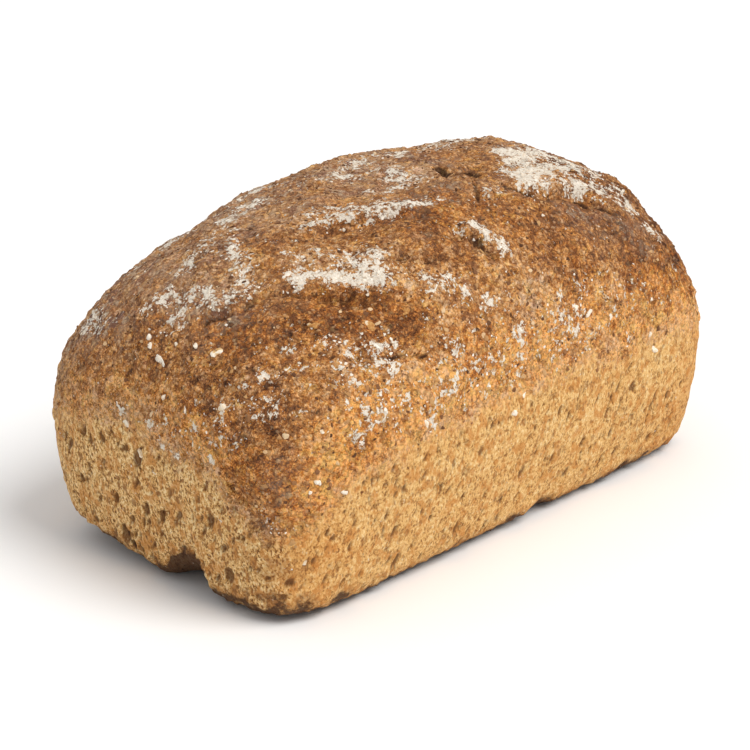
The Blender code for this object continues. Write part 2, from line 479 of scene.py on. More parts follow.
@dataclass
class SkinMesh:
    """Closed mesh of the loaf's whole skin, with its finest relief, the marks of baking, and the masks of
    painted shade and sheen on its points.
    """

    form: LoafForm = field(default_factory=LoafForm)
    cells_x: int = 248
    cells_y: int = 176
    wall_rings: int = 42
    edge_rings: int = 5
    edge_shares: tuple[float, ...] = (0.985, 0.97, 0.955, 0.94, 0.925, 0.91, 0.89, 0.87)
    base_rings: tuple[Place, ...] = ((0.85, 8.0), (0.78, 7.0), (0.66, 4.6), (0.5, 2.2))
    grains: tuple[Grain, ...] = (
        Grain(4.6, 0.62, 0.2, 5.1),
        Grain(2.6, 0.5, 0.22, 8.3),
        Grain(1.7, 0.42, 0.2, 2.9),
    )
    pits: tuple[Pit, ...] = (
        Pit(Face.NEAR_END, (-3, 24), 2.9, 4.6, 2.0),
        Pit(Face.NEAR_END, (17, 12), 2.0, 6.5, 1.8),
        Pit(Face.NEAR_END, (30, 43), 1.8, 5.0, 1.5),
        Pit(Face.NEAR_END, (21, 43), 2.4, 3.0, 1.3),
        Pit(Face.NEAR_END, (35, 25), 2.2, 3.4, 1.5),
        Pit(Face.NEAR_END, (18, 24), 2.0, 4.4, 1.6),
        Pit(Face.NEAR_END, (-25, 30), 3.0, 3.6, 1.5),
        Pit(Face.NEAR_END, (-30, 13), 3.6, 6.0, 1.6),
        Pit(Face.NEAR_END, (-9, 13), 2.0, 4.0, 1.5),
        Pit(Face.NEAR_END, (5, 41), 4.6, 7.5, 1.1),
        Pit(Face.LONG_SIDE, (-60, 22), 2.6, 4.4, 1.0),
        Pit(Face.LONG_SIDE, (-56, 10), 2.4, 4.6, 1.2),
        Pit(Face.LONG_SIDE, (-2, 22), 2.4, 4.4, 1.1),
        Pit(Face.LONG_SIDE, (50, 37), 2.6, 4.4, 1.0),
        Pit(Face.LONG_SIDE, (60, 48), 2.6, 3.6, 0.9),
        Pit(Face.LONG_SIDE, (-30, 12), 2.4, 5.0, 1.1),
        Pit(Face.LONG_SIDE, (22, 14), 2.4, 4.2, 1.0),
    )
    small_pits: int = 1200
    pit_margin: float = 12.0
    pit_low: float = 3.0
    pit_span: float = 46.0
    pit_width: float = 0.9
    pit_extra_width: float = 1.0
    end_pit_widening: float = 1.25
    pit_slimness: Place = (1.2, 2.4)
    pit_depths: Place = (0.4, 1.2)
    pit_reach: float = 0.62
    pit_facing: float = 0.6
    pit_tilt: float = 0.28
    pit_swirl: Place = (2.4, 0.8)
    pit_seed: int = 23
    full_pore: float = 1.1
    settled: float = 0.7
    split_depth: float = 1.3
    base_hollow: float = 0.25
    base_wave: float = 7.5
    shift: np.ndarray = field(default_factory=lambda: np.zeros(3))
    surface: tuple[np.ndarray, list[tuple[int, ...]]] = field(default_factory=lambda: (np.zeros((0, 3)), []))

    def grid(self) -> tuple[np.ndarray, list[tuple[int, ...]], list[np.ndarray]]:
        """Lay out the skin's points and faces before any relief.

        Returns:
            Points, faces as point numbers, and the rings of the underside from its edge inwards.
        """
        columns, rows = np.meshgrid(np.arange(self.cells_x + 1), np.arange(self.cells_y + 1), indexing="ij")
        u = 2 * columns.ravel() / self.cells_x - 1
        v = 2 * rows.ravel() / self.cells_y - 1
        blocks = [self.form.dome_points(u, v)]
        stride = self.cells_y + 1
        faces = [
            (i * stride + j, (i + 1) * stride + j, (i + 1) * stride + j + 1, i * stride + j + 1)
            for i in range(self.cells_x)
            for j in range(self.cells_y)
        ]
        rim = [i * stride for i in range(self.cells_x)]
        rim += [self.cells_x * stride + j for j in range(self.cells_y)]
        rim += [i * stride + self.cells_y for i in range(self.cells_x, 0, -1)]
        rim += list(range(self.cells_y, 0, -1))
        ring = np.array(rim)
        ring_u, ring_v = u[ring], v[ring]
        total = len(u)
        for z in self.wall_heights():
            blocks.append(self.form.wall_points(ring_u, ring_v, z))
            ring, total = self.bridge(faces, ring, total)
        rings = [ring]
        for share in self.edge_shares:
            blocks.append(self.form.base_points(ring_u, ring_v, share, self.form.base_squareness))
            ring, total = self.bridge(faces, ring, total)
            rings.append(ring)
        for share, squareness in self.base_rings:
            ring_u, ring_v = ring_u[::2], ring_v[::2]
            blocks.append(self.form.base_points(ring_u, ring_v, share, squareness))
            ring, total = self.bridge_half(faces, ring, total)
            rings.append(ring)
        faces.append(tuple(int(k) for k in ring[::-1]))
        return self.form.settle(np.concatenate(blocks)), faces, rings

    def wall_heights(self) -> list[float]:
        """Heights of the rings from under the shoulder to the floor, closer round the bottom edge.

        Returns:
            The heights, from the top down.
        """
        form = self.form
        span = form.shoulder_z - form.base_edge
        heights = [form.shoulder_z - span * ring / self.wall_rings for ring in range(1, self.wall_rings + 1)]
        turn = math.pi / 2 / self.edge_rings
        return heights + [form.base_edge * (1 - math.sin(turn * k)) for k in range(1, self.edge_rings + 1)]

    def bridge(self, faces: list, upper: np.ndarray, total: int) -> tuple[np.ndarray, int]:
        """Join a ring to a new one with as many points.

        Args:
            faces: Faces so far, added to here.
            upper: Point numbers of the ring above.
            total: How many points there are so far.

        Returns:
            Point numbers of the new ring, and the new total.
        """
        lower = np.arange(total, total + len(upper))
        after_upper, after_lower = np.roll(upper, -1), np.roll(lower, -1)
        faces.extend(zip(after_upper.tolist(), upper.tolist(), lower.tolist(), after_lower.tolist()))
        return lower, total + len(upper)

    def bridge_half(self, faces: list, outer: np.ndarray, total: int) -> tuple[np.ndarray, int]:
        """Join a ring to a new one inside it with half as many points.

        Args:
            faces: Faces so far, added to here.
            outer: Point numbers of the ring outside.
            total: How many points there are so far.

        Returns:
            Point numbers of the new ring, and the new total.
        """
        inner = np.arange(total, total + len(outer) // 2)
        for k, point in enumerate(inner.tolist()):
            start, middle, end = (int(outer[(2 * k + step) % len(outer)]) for step in range(3))
            following = int(inner[(k + 1) % len(inner)])
            faces.extend([(middle, start, point), (middle, point, following), (end, middle, following)])
        return inner, total + len(inner)

    def all_pits(self) -> list[Pit]:
        """The pores that stand out, and the many smaller ones on every tin side.

        Returns:
            All pores, those that stand out first.
        """
        draw = random.Random(self.pit_seed)
        form = self.form
        pits = list(self.pits)
        for _ in range(self.small_pits):
            face = draw.choice((Face.LONG_SIDE, Face.LONG_SIDE, Face.NEAR_END))
            half = (form.length if face is Face.LONG_SIDE else form.width) / 2 - self.pit_margin
            width = self.pit_width + self.pit_extra_width * draw.random() ** 2
            width *= self.end_pit_widening if face is Face.NEAR_END else 1.0
            place = (draw.uniform(-half, half), self.pit_low + self.pit_span * draw.random())
            height = width * draw.uniform(*self.pit_slimness)
            pits.append(Pit(face, place, width, height, draw.uniform(*self.pit_depths)))
        return pits

    def pore_depth(self, points: np.ndarray, normals: np.ndarray) -> np.ndarray:
        """Depth of the pores, on both long sides and both ends.

        Args:
            points: Places on the smooth form.
            normals: Outward directions there.

        Returns:
            Depths under it.
        """
        depth = np.zeros(len(points))
        for number, pit in enumerate(self.all_pits()):
            first, second, axis, sign = pit.face.value
            hidden = number >= len(self.pits) and number % 2 == 0
            facing = normals[:, axis] * (-sign if hidden else sign) > self.pit_facing
            near = np.flatnonzero(
                facing
                & (np.abs(points[:, first] - pit.place[0]) < pit.height)
                & (np.abs(points[:, second] - pit.place[1]) < pit.height)
            )
            across = points[near, first] - pit.place[0]
            up = points[near, second] - pit.place[1]
            across = across + self.pit_tilt * up * (1 if pit.face is Face.NEAR_END else -1)
            away = np.hypot(across / (pit.width * self.pit_reach), up / (pit.height * self.pit_reach))
            depth[near] = np.maximum(depth[near], pit.depth * bump(away, 1.0) ** 0.5)
        return depth

    def build(self) -> bpy.types.Object:
        """Make the skin.

        Returns:
            The skin's object, in metres, with its marks as point attributes.
        """
        points, faces, rings = self.grid()
        mesh = bpy.data.meshes.new("loaf_skin")
        mesh.from_pydata(points.tolist(), [], faces)
        normals = read_points(mesh, "normal")
        clear = points[:, 2] - self.form.underside(points[:, 0], points[:, 1])
        above = ramp(clear, 0.0, self.form.base_edge)
        near = ramp(clear, 0.0, 2.5)
        crust = self.form.crust(points)
        depth = self.pore_depth(swirled(points, *self.pit_swirl), normals)
        depth = depth * ramp(clear, 1.0, 5.0) * (1 - crust)
        marks = BakingAndSheenMarks(self.form).over(points, normals, clear)
        splits = marks["split"] * crust
        height = (self.form.relief(points) - self.settled * crust) * above - self.split_depth * splits
        for grain in self.grains:
            amount = grain.on_crust * crust + grain.on_tin * (1 - crust) * (3 - 2 * ramp(clear, 2.0, 9.0))
            height += waves(points, grain.length, grain.offset) * amount * near
        moved = points + normals * (height - depth)[:, None]
        uneven = self.base_hollow * (1 - above) * (1 + waves(points, self.base_wave))
        uneven[rings[-1]] = 0.0
        moved[:, 2] += uneven
        # painted shade: how dark each pore is painted, growing with its depth
        marks["pore"] = np.clip(depth / self.full_pore, 0.0, 1.0)
        for name, values in marks.items():
            layer = mesh.attributes.new(name, "FLOAT", "POINT")
            layer.data.foreach_set("value", values.astype(np.float32))
        moved[:, 2] = np.maximum(moved[:, 2], 0.0)
        self.shift = centring(moved)
        self.surface = (moved, faces)
        write_points(mesh, moved * MM + self.shift)
        mesh.shade_smooth()
        skin = bpy.data.objects.new("loaf_skin", mesh)
        bpy.context.scene.collection.objects.link(skin)
        return skin


def centring(points: np.ndarray) -> np.ndarray:
    """Move that stands points in the middle of the CAD node's box.

    Args:
        points: Places in millimetres.

    Returns:
        The move in metres.
    """
    low, high = (np.array(corner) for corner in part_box(NODE))
    metres = points * MM
    shift = (low + high) / 2 - (metres.min(0) + metres.max(0)) / 2
    shift[2] = low[2] - metres[:, 2].min()
    return shift


def read_points(mesh: bpy.types.Mesh, what: str = "co") -> np.ndarray:
    """Places or normals of a mesh's points.

    Args:
        mesh: What they belong to.
        what: "co" for places or "normal".

    Returns:
        One row of three numbers for each point.
    """
    values = np.empty(len(mesh.vertices) * 3, np.float32)
    mesh.vertices.foreach_get(what, values)
    return values.reshape(-1, 3).astype(float)


def write_points(mesh: bpy.types.Mesh, points: np.ndarray) -> None:
    """Move every point of a mesh."""
    mesh.vertices.foreach_set("co", points.astype(np.float32).ravel())
    mesh.update()


@dataclass
class BakingAndSheenMarks:
    """Where the loaf is floured, browned, split (painted dark as shade in the shader), burnt, or greyed with
    painted sheen.
    """

    form: LoafForm
    crust_line: float = 51.5
    corner_dip: float = 33.0
    dip_along: float = 17.0
    dip_across: float = 28.0
    spot_depth: float = 8.0
    noise_sizes: tuple[float, float, float] = (24.0, 9.0, 4.2)
    blend: float = 11.0
    broad_swirl: Place = (8.0, 3.0)
    edge_swirl: Place = (3.2, 1.5)
    spot_swirl: Place = (2.6, 1.1)
    split_swirl: Place = (3.4, 1.2)
    base_tone: float = 0.15
    strongest_share: float = 0.67
    sum_share: float = 0.33
    most_sum: float = 1.5
    far_corner: float = 0.35
    corner_falloff: float = 1.2
    flour: tuple[Mark, ...] = (
        Mark(Face.TOP, ((-66, -23), (-61, -30), (-55, -36), (-48, -40)), 3.4, 1.35),
        Mark(Face.TOP, ((-59, -21), (-50, -27), (-44, -35)), 6.0, 0.9),
        Mark(Face.TOP, ((-43, -42), (-34, -46), (-28, -52)), 6.0, 0.55),
        Mark(Face.TOP, ((-46, -9), (-38, -12), (-28, -17), (-16, -22), (-5, -25)), 3.2, 0.92),
        Mark(Face.TOP, ((-44, -5), (-30, -10), (-14, -16)), 5.0, 0.65),
        Mark(Face.TOP, ((36, -24), (46, -22), (58, -21)), 7.5, 1.3),
        Mark(Face.TOP, ((46, -14), (58, -11)), 5.0, 1.2),
        Mark(Face.TOP, ((29, -29), (42, -32), (56, -33)), 3.6, 1.3),
        Mark(Face.TOP, ((50, -4), (66, -10), (74, -20)), 5.5, 1.0),
        Mark(Face.TOP, ((58, -18), (68, -26), (76, -34)), 6.5, 0.75),
        Mark(Face.TOP, ((44, -34), (56, -35), (70, -38)), 3.0, 0.7),
        Mark(Face.TOP, ((-10, -40), (-4, -43), (-1, -48)), 2.8, 0.9),
        Mark(Face.TOP, ((-72, -48), (-66, -52), (-58, -55)), 5.0, 0.75),
        Mark(Face.TOP, ((0, -8), (4, 2), (8, 10)), 6.0, 0.75),
        Mark(Face.TOP, ((-40, 21), (-48, 20), (-60, 14), (-70, 13), (-78, 12)), 5.0, 0.8),
        Mark(Face.TOP, ((13, -25), (19, -30)), 3.0, 0.8),
        Mark(Face.TOP, ((-66, 1), (-72, -9), (-77, -17)), 3.6, 1.1),
        Mark(Face.TOP, ((-88, 12), (-84, 1), (-82, -12)), 4.6, 0.8),
        Mark(Face.TOP, ((-52, 22), (-42, 20)), 4.0, 0.85),
        Mark(Face.TOP, ((-13, -6), (0, -10), (10, -6)), 5.0, 0.65),
        Mark(Face.TOP, ((-16, 16), (8, 22), (26, 19), (42, 17)), 7.0, 0.8),
        Mark(Face.TOP, ((30, 30), (46, 24), (62, 14)), 6.5, 0.7),
        Mark(Face.TOP, ((-70, 38), (-48, 36), (-28, 34)), 6.0, 0.7),
        Mark(Face.TOP, ((-84, -38), (-77, -43), (-69, -50)), 2.0, 0.6),
        Mark(Face.TOP, ((-92, 3), (-91, -4)), 2.2, 1.0),
        Mark(Face.LONG_SIDE, ((-68, 65), (-16, 67), (20, 66)), 11.0, 0.55),
        Mark(Face.LONG_SIDE, ((16, 72), (56, 66)), 9.0, 0.34),
        Mark(Face.LONG_SIDE, ((-96, 20), (-92, 30)), 3.0, 0.4),
        Mark(Face.NEAR_END, ((-8, 52), (-30, 58), (-40, 70)), 8.0, 0.42),
        Mark(Face.NEAR_END, ((-46, 44), (-50, 34)), 3.0, 0.5),
    )
    spots: tuple[tuple[float, float, float, float, float], ...] = (
        (-105, -2, 54, 1.9, 1.6), (-104, -6, 49, 2.1, 1.6), (-104, -13, 47, 2.1, 1.4),
        (-104, -21, 58, 2.0, 1.4), (-104, -28, 56, 2.3, 1.4), (-104, -28, 50, 2.0, 1.3),
        (-105, 11, 55, 2.1, 1.3), (-101, -30, 67, 2.0, 1.2), (-97, -35, 73, 2.2, 0.9),
        (-92, -38, 75, 3.2, 1.3), (-88, -42, 76, 2.2, 1.0), (-83, -45, 77, 2.0, 0.9),
        (-87, -48, 72, 1.8, 0.8), (-95, -45, 66, 2.4, 0.7), (-99, -49, 33, 3.0, 0.7),
        (-72, -54, 72, 2.6, 1.1), (-77, -57, 67, 1.8, 0.9), (-70, -58, 68, 2.2, 1.0),
        (-65, -58, 67, 2.0, 0.9), (-65, -56, 73, 2.2, 1.0), (-59, -57, 73, 3.4, 1.2),
        (-56, -60, 64, 2.7, 1.1), (-64, -60, 62, 2.0, 0.9), (-72, -60, 59, 2.4, 0.8),
        (-49, -63, 54, 3.0, 1.1), (-44, -61, 65, 2.6, 0.9), (-38, -62, 61, 2.2, 0.9),
        (-29, -62, 61, 2.4, 1.0), (-34, -50, 88, 3.4, 0.85), (-26, -49, 91, 3.6, 0.8),
        (-22, -53, 86, 3.2, 1.2), (-26, -58, 77, 2.6, 0.8), (-34, -55, 81, 2.6, 0.7),
        (-16, -56, 82, 3.4, 1.1), (14, -29, 105, 4.5, 0.8), (-5, -46, 97, 2.8, 1.0),
        (6, -52, 90, 4.0, 0.35), (15, -59, 77, 1.9, 0.9), (24, -59, 77, 2.0, 0.9), (30, -62, 62, 2.4, 0.9),
        (46, -62, 55, 2.4, 0.8), (-6, -61, 66, 2.2, 0.8), (44, -59, 74, 3.0, 0.6), (66, -32, 94, 4.4, 1.5),
        (75, -38, 88, 4.6, 1.5), (77, -46, 80, 4.2, 1.3), (-69, -50, 79, 3.2, 1.1),
        (-63, -53, 76, 3.0, 1.1), (-76, -60, 57, 3.2, 1.0),
    )
    dark: tuple[Mark, ...] = (
        Mark(Face.TOP, ((-86, -22), (-76, -33), (-64, -44), (-48, -52)), 8.5, 0.24),
        Mark(Face.TOP, ((-46, -18), (-30, -25), (-16, -33)), 6.5, 0.12),
        Mark(Face.TOP, ((26, -36), (42, -42), (62, -47)), 6.5, 0.12),
        Mark(Face.TOP, ((66, -20), (84, -34), (88, -48)), 13.0, 0.3),
        Mark(Face.TOP, ((21, -31), (32, -38), (45, -41), (60, -45)), 2.6, 0.16),
        Mark(Face.TOP, ((26, -47), (54, -50), (74, -46)), 9.0, 0.17),
        Mark(Face.LONG_SIDE, ((56, 78), (92, 68)), 10.0, 0.34),
        Mark(Face.LONG_SIDE, ((20, 68), (60, 64), (90, 60)), 8.0, 0.1),
        Mark(Face.TOP, ((-24, -22), (4, -18), (24, -24)), 9.0, 0.13),
        Mark(Face.TOP, ((-30, -40), (-16, -46)), 6.0, 0.12),
        Mark(Face.TOP, ((4, -34), (24, -44)), 6.0, 0.1),
        Mark(Face.LONG_SIDE, ((-36, 75), (-24, 69)), 7.0, 0.1),
        Mark(Face.TOP, ((0, -44), (14, -46)), 6.0, 0.08),
        Mark(Face.NEAR_END, ((30, 68), (12, 74), (-6, 72)), 7.0, 0.16),
        Mark(Face.NEAR_END, ((-20, 74), (-44, 68)), 7.0, 0.08),
    )
    ochre: tuple[Mark, ...] = (
        Mark(Face.TOP, ((-88, -18), (-76, -33), (-62, -44), (-42, -53)), 11.0, 0.6),
        Mark(Face.TOP, ((-30, -14), (0, -30), (30, -38)), 12.0, 0.4),
        Mark(Face.NEAR_END, ((30, 60), (0, 62), (-20, 60)), 12.0, 0.6),
        Mark(Face.NEAR_END, ((-20, 58), (-44, 50)), 10.0, 1.0),
        Mark(Face.LONG_SIDE, ((-92, 46), (-70, 62), (-10, 64), (50, 66), (80, 66)), 13.0, 1.1),
        Mark(Face.LONG_SIDE, ((-100, 6), (-92, 22)), 12.0, 1.2),
        Mark(Face.LONG_SIDE, ((80, 8), (96, 40)), 20.0, 0.9),
    )
    # Greyed crust on the back of the top and the high edges: partly the crust's own grey-plum tone, partly
    # painted sheen of light skimming those faces
    ash: tuple[Mark, ...] = (
        Mark(Face.TOP, ((-92, 34), (-60, 30), (-20, 24), (20, 12)), 17.0, 1.3),
        Mark(Face.TOP, ((-70, 6), (-30, 4), (10, -6)), 9.0, 0.8),
        Mark(Face.TOP, ((-84, 10), (-86, -4), (-80, -18)), 9.0, 0.9),
        Mark(Face.TOP, ((30, 20), (50, 12), (70, -4)), 12.0, 0.8),
        Mark(Face.TOP, ((-20, -22), (10, -20), (26, -28)), 8.0, 0.6),
        Mark(Face.TOP, ((40, -44), (66, -50)), 7.0, 0.7),
        Mark(Face.NEAR_END, ((30, 78), (46, 64)), 10.0, 0.7),
        Mark(Face.NEAR_END, ((-52, 46), (-48, 34)), 8.0, 0.3),
        Mark(Face.LONG_SIDE, ((-100, 52), (-94, 34)), 6.0, 0.25),
    )
    # Splits in the crown, sunk into the skin; the shader paints them near black as painted shade inside the
    # cracks, over their darker crust
    splits: tuple[Mark, ...] = (
        Mark(Face.TOP, ((-79, -17), (-71, -25), (-66, -31), (-56, -40), (-49, -44), (-43, -50)), 1.2, 0.65),
        Mark(Face.TOP, ((-41, -36), (-34, -40), (-27, -45)), 1.0, 0.7),
        Mark(Face.TOP, ((-12, -41), (-9, -44), (-7, -46), (-6, -50)), 1.0, 0.9),
        Mark(Face.LONG_SIDE, ((-78, 79), (-71, 78), (-61, 77), (-48, 74), (-40, 74)), 1.0, 0.7),
        Mark(Face.TOP, ((23, -28.5), (28, -33.5), (36, -36.5), (50, -38.5), (60, -42.5)), 1.5, 0.95),
        Mark(Face.TOP, ((-50, -12), (-38, -17), (-26, -22), (-14, -28)), 1.1, 0.65),
        Mark(Face.TOP, ((20, -3), (18, -8), (21, -12), (25, -12), (24, -17)), 1.8, 1.6),
        Mark(Face.TOP, ((15, -22), (12, -26), (8, -31)), 1.0, 0.8),
        Mark(Face.TOP, ((-90, -10), (-84, -16), (-77, -21)), 1.1, 0.75),
        Mark(Face.TOP, ((-58, 40), (-44, 34), (-30, 34)), 1.2, 0.8),
        Mark(Face.TOP, ((6, 38), (22, 34), (36, 36)), 1.2, 0.8),
        Mark(Face.NEAR_END, ((17, 15), (15, 12), (13, 8)), 1.2, 1.0),
    )

    def over(self, points: np.ndarray, normals: np.ndarray, clear: np.ndarray) -> dict[str, np.ndarray]:
        """Work out every mark at each point of the skin.

        Args:
            points: Places on the smooth form.
            normals: Outward directions there.
            clear: Height above the worn underside.

        Returns:
            Numbers from 0 to 1 under each mark's name.
        """
        x, y, z = points.T
        clouds = tuple(waves(points, size, size) for size in self.noise_sizes)
        broad, middle, fine = clouds
        rise = z - self.line(x, y) + 4.0 * broad + 3.5 * middle + 1.8 * fine
        crust = ramp(rise, -self.blend, self.blend)
        loose = swirled(swirled(points, *self.broad_swirl), *self.edge_swirl)
        dark = self.tone(points, normals, rise, clouds) + self.total(self.dark, loose, normals)
        flour = self.total(self.flour, loose, normals) * (1 + 0.4 * middle + 0.5 * fine)
        flour = np.maximum(flour, self.spotted(swirled(points, *self.spot_swirl), normals))
        flour = flour + self.loose_flour(points, broad, middle)
        ash = self.total(self.ash, points, normals) * (1 + 0.6 * middle) + 0.2 * middle
        ochre = self.total(self.ochre, points, normals) + 0.5 * broad
        split = self.total(self.splits, swirled(points, *self.split_swirl), normals) * (1 + 0.8 * fine)
        marks = {
            "crust": crust,
            "dark": dark,
            "flour": flour,
            "ash": ash,
            "ochre": ochre,
            "burn": self.burnt(points, normals, clear, clouds),
            "split": split,
            "end": ramp(np.abs(normals[:, 0]), 0.5, 0.9),
            "bare": crust * (1 - ramp(flour, 0.7, 1.3)),
        }
        return {name: np.clip(values, 0.0, 2.0) for name, values in marks.items()}

    def tone(
        self, points: np.ndarray, normals: np.ndarray, rise: np.ndarray, clouds: tuple[np.ndarray, ...]
    ) -> np.ndarray:
        """How brown the crust is, apart from its own dark marks.

        Args:
            points: Places on the smooth form.
            normals: Outward directions there.
            rise: Height above the line where the crust begins.
            clouds: Broad, middle and fine noise.

        Returns:
            Numbers from 0, pale, to 1, black.
        """
        x, y, z = points.T
        broad, middle, fine = clouds
        dark = self.base_tone + 0.16 * ramp(rise, -2.0, 36.0) + 0.12 * broad + 0.14 * middle + 0.12 * fine
        dark = dark - 0.1 * ramp(-normals[:, 1], 0.3, 0.9) * (1 - ramp(z, 70.0, 88.0))
        return dark - 0.1 * (1 - ramp(rise, -10.0, 12.0)) + 0.22 * self.corner(x, y) * ramp(rise, -4, 8)

    def burnt(
        self, points: np.ndarray, normals: np.ndarray, clear: np.ndarray, clouds: tuple[np.ndarray, ...]
    ) -> np.ndarray:
        """How burnt the skin is: along the base edge, round the notch, up the near corner and underneath.

        Args:
            points: Places on the smooth form.
            normals: Outward directions there.
            clear: Height above the worn underside.
            clouds: Broad, middle and fine noise.

        Returns:
            Numbers from 0, and 1 or more where it is black.
        """
        x, y, z = points.T
        broad, middle, fine = clouds
        low = clear - 4.0 * ramp(middle + 0.4 * broad, 0.0, 0.5) - 2.0 * fine
        burn = 1 - ramp(low, 0.6, 6.5)
        notch = self.form.notch(x, y) / self.form.notch_height
        burn = np.maximum(burn, 1.8 * ramp(notch, 0.02, 0.25) * (1 - ramp(clear - 3.0 * fine, 2.0, 8.5)))
        corner, speckle = self.corner(x, y), fine + middle
        burn = np.maximum(burn, 1.6 * corner * (1 - ramp(z, 3.0, 26.0)) * ramp(speckle, -0.6, 0.4))
        burn = np.maximum(burn, 0.75 * corner * (1 - ramp(z, 18.0, 40.0)) * ramp(speckle, -0.7, 0.3))
        return np.where(normals[:, 2] < -0.6, np.maximum(burn, 0.45 + 0.4 * middle), burn)

    def spotted(self, points: np.ndarray, normals: np.ndarray) -> np.ndarray:
        """Strength of the small flour spots, measured along the skin.

        Args:
            points: Places on the skin.
            normals: Outward directions there.

        Returns:
            The strongest spot's number at each point.
        """
        strongest = np.zeros(len(points))
        for x, y, z, reach, amount in self.spots:
            away = points - np.array((x, y, z))
            out = (away * normals).sum(1)
            along = (away ** 2).sum(1) - out ** 2
            strength = amount * np.exp(-along / reach ** 2) * (np.abs(out) < self.spot_depth)
            strongest = np.maximum(strongest, strength)
        return strongest

    def total(self, marks: Sequence[Mark], points: np.ndarray, normals: np.ndarray) -> np.ndarray:
        """Strongest of some marks at each point, with a third of their sum added.

        Args:
            marks: The marks.
            points: Places on the skin.
            normals: Outward directions there.

        Returns:
            One number for each point.
        """
        values = np.array([mark.over(points, normals) for mark in marks])
        return values.max(0) * self.strongest_share + np.minimum(values.sum(0), self.most_sum) * self.sum_share

    def corner(self, x: np.ndarray, y: np.ndarray) -> np.ndarray:
        """Nearness to the near standing corner and the one across from it.

        Args:
            x: Places along the loaf.
            y: Places across it.

        Returns:
            Numbers from 0 to 1.
        """
        along = (self.form.length / 2 - np.abs(x)) / self.dip_along
        across = (self.form.width / 2 - np.abs(y)) / self.dip_across
        strength = np.where(x * y > 0, 1.0, self.far_corner)
        return strength / (1 + along * along + across * across) ** self.corner_falloff

    def line(self, x: np.ndarray, y: np.ndarray) -> np.ndarray:
        """Height where the tin side turns into open crust, which dips at the near corner."""
        return self.crust_line - self.corner_dip * self.corner(x, y)

    def loose_flour(self, points: np.ndarray, broad: np.ndarray, middle: np.ndarray) -> np.ndarray:
        """Loose flour over the whole crust, heavier in drifts on the back that the named marks leave out.

        Args:
            points: Places on the skin.
            broad: Broad noise there.
            middle: Finer noise there.

        Returns:
            Strength of the flour.
        """
        high = ramp(points[:, 2], 46.0, 60.0)
        back = ramp(points[:, 1], 15.0, 40.0)
        drift = ramp(broad + 0.6 * middle, 0.1, 0.6)
        return high * (0.16 + (0.24 + 0.2 * back) * middle + 0.7 * back * drift)


class Wire:
    """A socket's value, so that a shader's sums read as sums."""

    def __init__(self, paint: "Paint", socket: bpy.types.NodeSocket) -> None:
        """Hold the socket and the paint that it belongs to."""
        self.paint = paint
        self.socket = socket

    def _sum(self, operation: str, first: Any, second: Any) -> "Wire":
        """One Math node.

        Args:
            operation: What it does.
            first: A wire or a number.
            second: The same.

        Returns:
            The result's wire.
        """
        node = self.paint.node("ShaderNodeMath", {"operation": operation}, {0: first, 1: second})
        return Wire(self.paint, node.outputs[0])

    def __add__(self, other: Any) -> "Wire":
        """Sum."""
        return self._sum("ADD", self, other)

    def __radd__(self, other: Any) -> "Wire":
        """Sum with this value last."""
        return self._sum("ADD", other, self)

    def __sub__(self, other: Any) -> "Wire":
        """Difference."""
        return self._sum("SUBTRACT", self, other)

    def __rsub__(self, other: Any) -> "Wire":
        """Difference with this value taken off."""
        return self._sum("SUBTRACT", other, self)

    def __mul__(self, other: Any) -> "Wire":
        """Product."""
        return self._sum("MULTIPLY", self, other)

    def __rmul__(self, other: Any) -> "Wire":
        """Product with this value last."""
        return self._sum("MULTIPLY", other, self)

    def most(self, other: Any) -> "Wire":
        """The larger of both values."""
        return self._sum("MAXIMUM", self, other)

    def step(self, start: float, end: float) -> "Wire":
        """Smooth step from 0 to 1.

        Args:
            start: Value where it leaves 0.
            end: Value where it reaches 1.

        Returns:
            The step's wire.
        """
        settings = {"interpolation_type": "SMOOTHSTEP", "clamp": True}
        sockets = {"Value": self, "From Min": start, "From Max": end}
        return Wire(self.paint, self.paint.node("ShaderNodeMapRange", settings, sockets).outputs["Result"])


class NodeMaker:
    """A node tree being made, of a material or of geometry."""

    def __init__(self, tree: bpy.types.NodeTree) -> None:
        """Start on a tree.

        Args:
            tree: What the nodes go into.
        """
        self.tree = tree

    def node(self, kind: str, settings: dict[str, Any], sockets: dict[Any, Any]) -> bpy.types.Node:
        """Add one node.

        Args:
            kind: The node's type.
            settings: Its own settings, set first; "stops" holds a ramp's places and colours.
            sockets: Values or links of its inputs, by name or number.

        Returns:
            The node.
        """
        made = self.tree.nodes.new(kind)
        for name, value in settings.items():
            if name == "stops":
                self._set_stops(made.color_ramp, value)
            else:
                setattr(made, name, value)
        for key, value in sockets.items():
            self.feed(made.inputs[key], value)
        return made

    def feed(self, socket: bpy.types.NodeSocket, value: Any) -> None:
        """Give an input its link or its value.

        Args:
            socket: The input.
            value: A wire, a socket or a plain value.
        """
        source = value.socket if isinstance(value, Wire) else value
        if isinstance(source, bpy.types.NodeSocket):
            self.tree.links.new(source, socket)
        else:
            socket.default_value = source

    @staticmethod
    def _set_stops(band: bpy.types.ColorRamp, stops: Stops) -> None:
        """Give a ramp its stops.

        Args:
            band: The ramp.
            stops: Places along it and their colours.
        """
        while len(band.elements) < len(stops):
            band.elements.new(0.5)
        for element, (position, colour) in zip(band.elements, stops):
            element.position = position
            element.color = (*colour, 1.0)


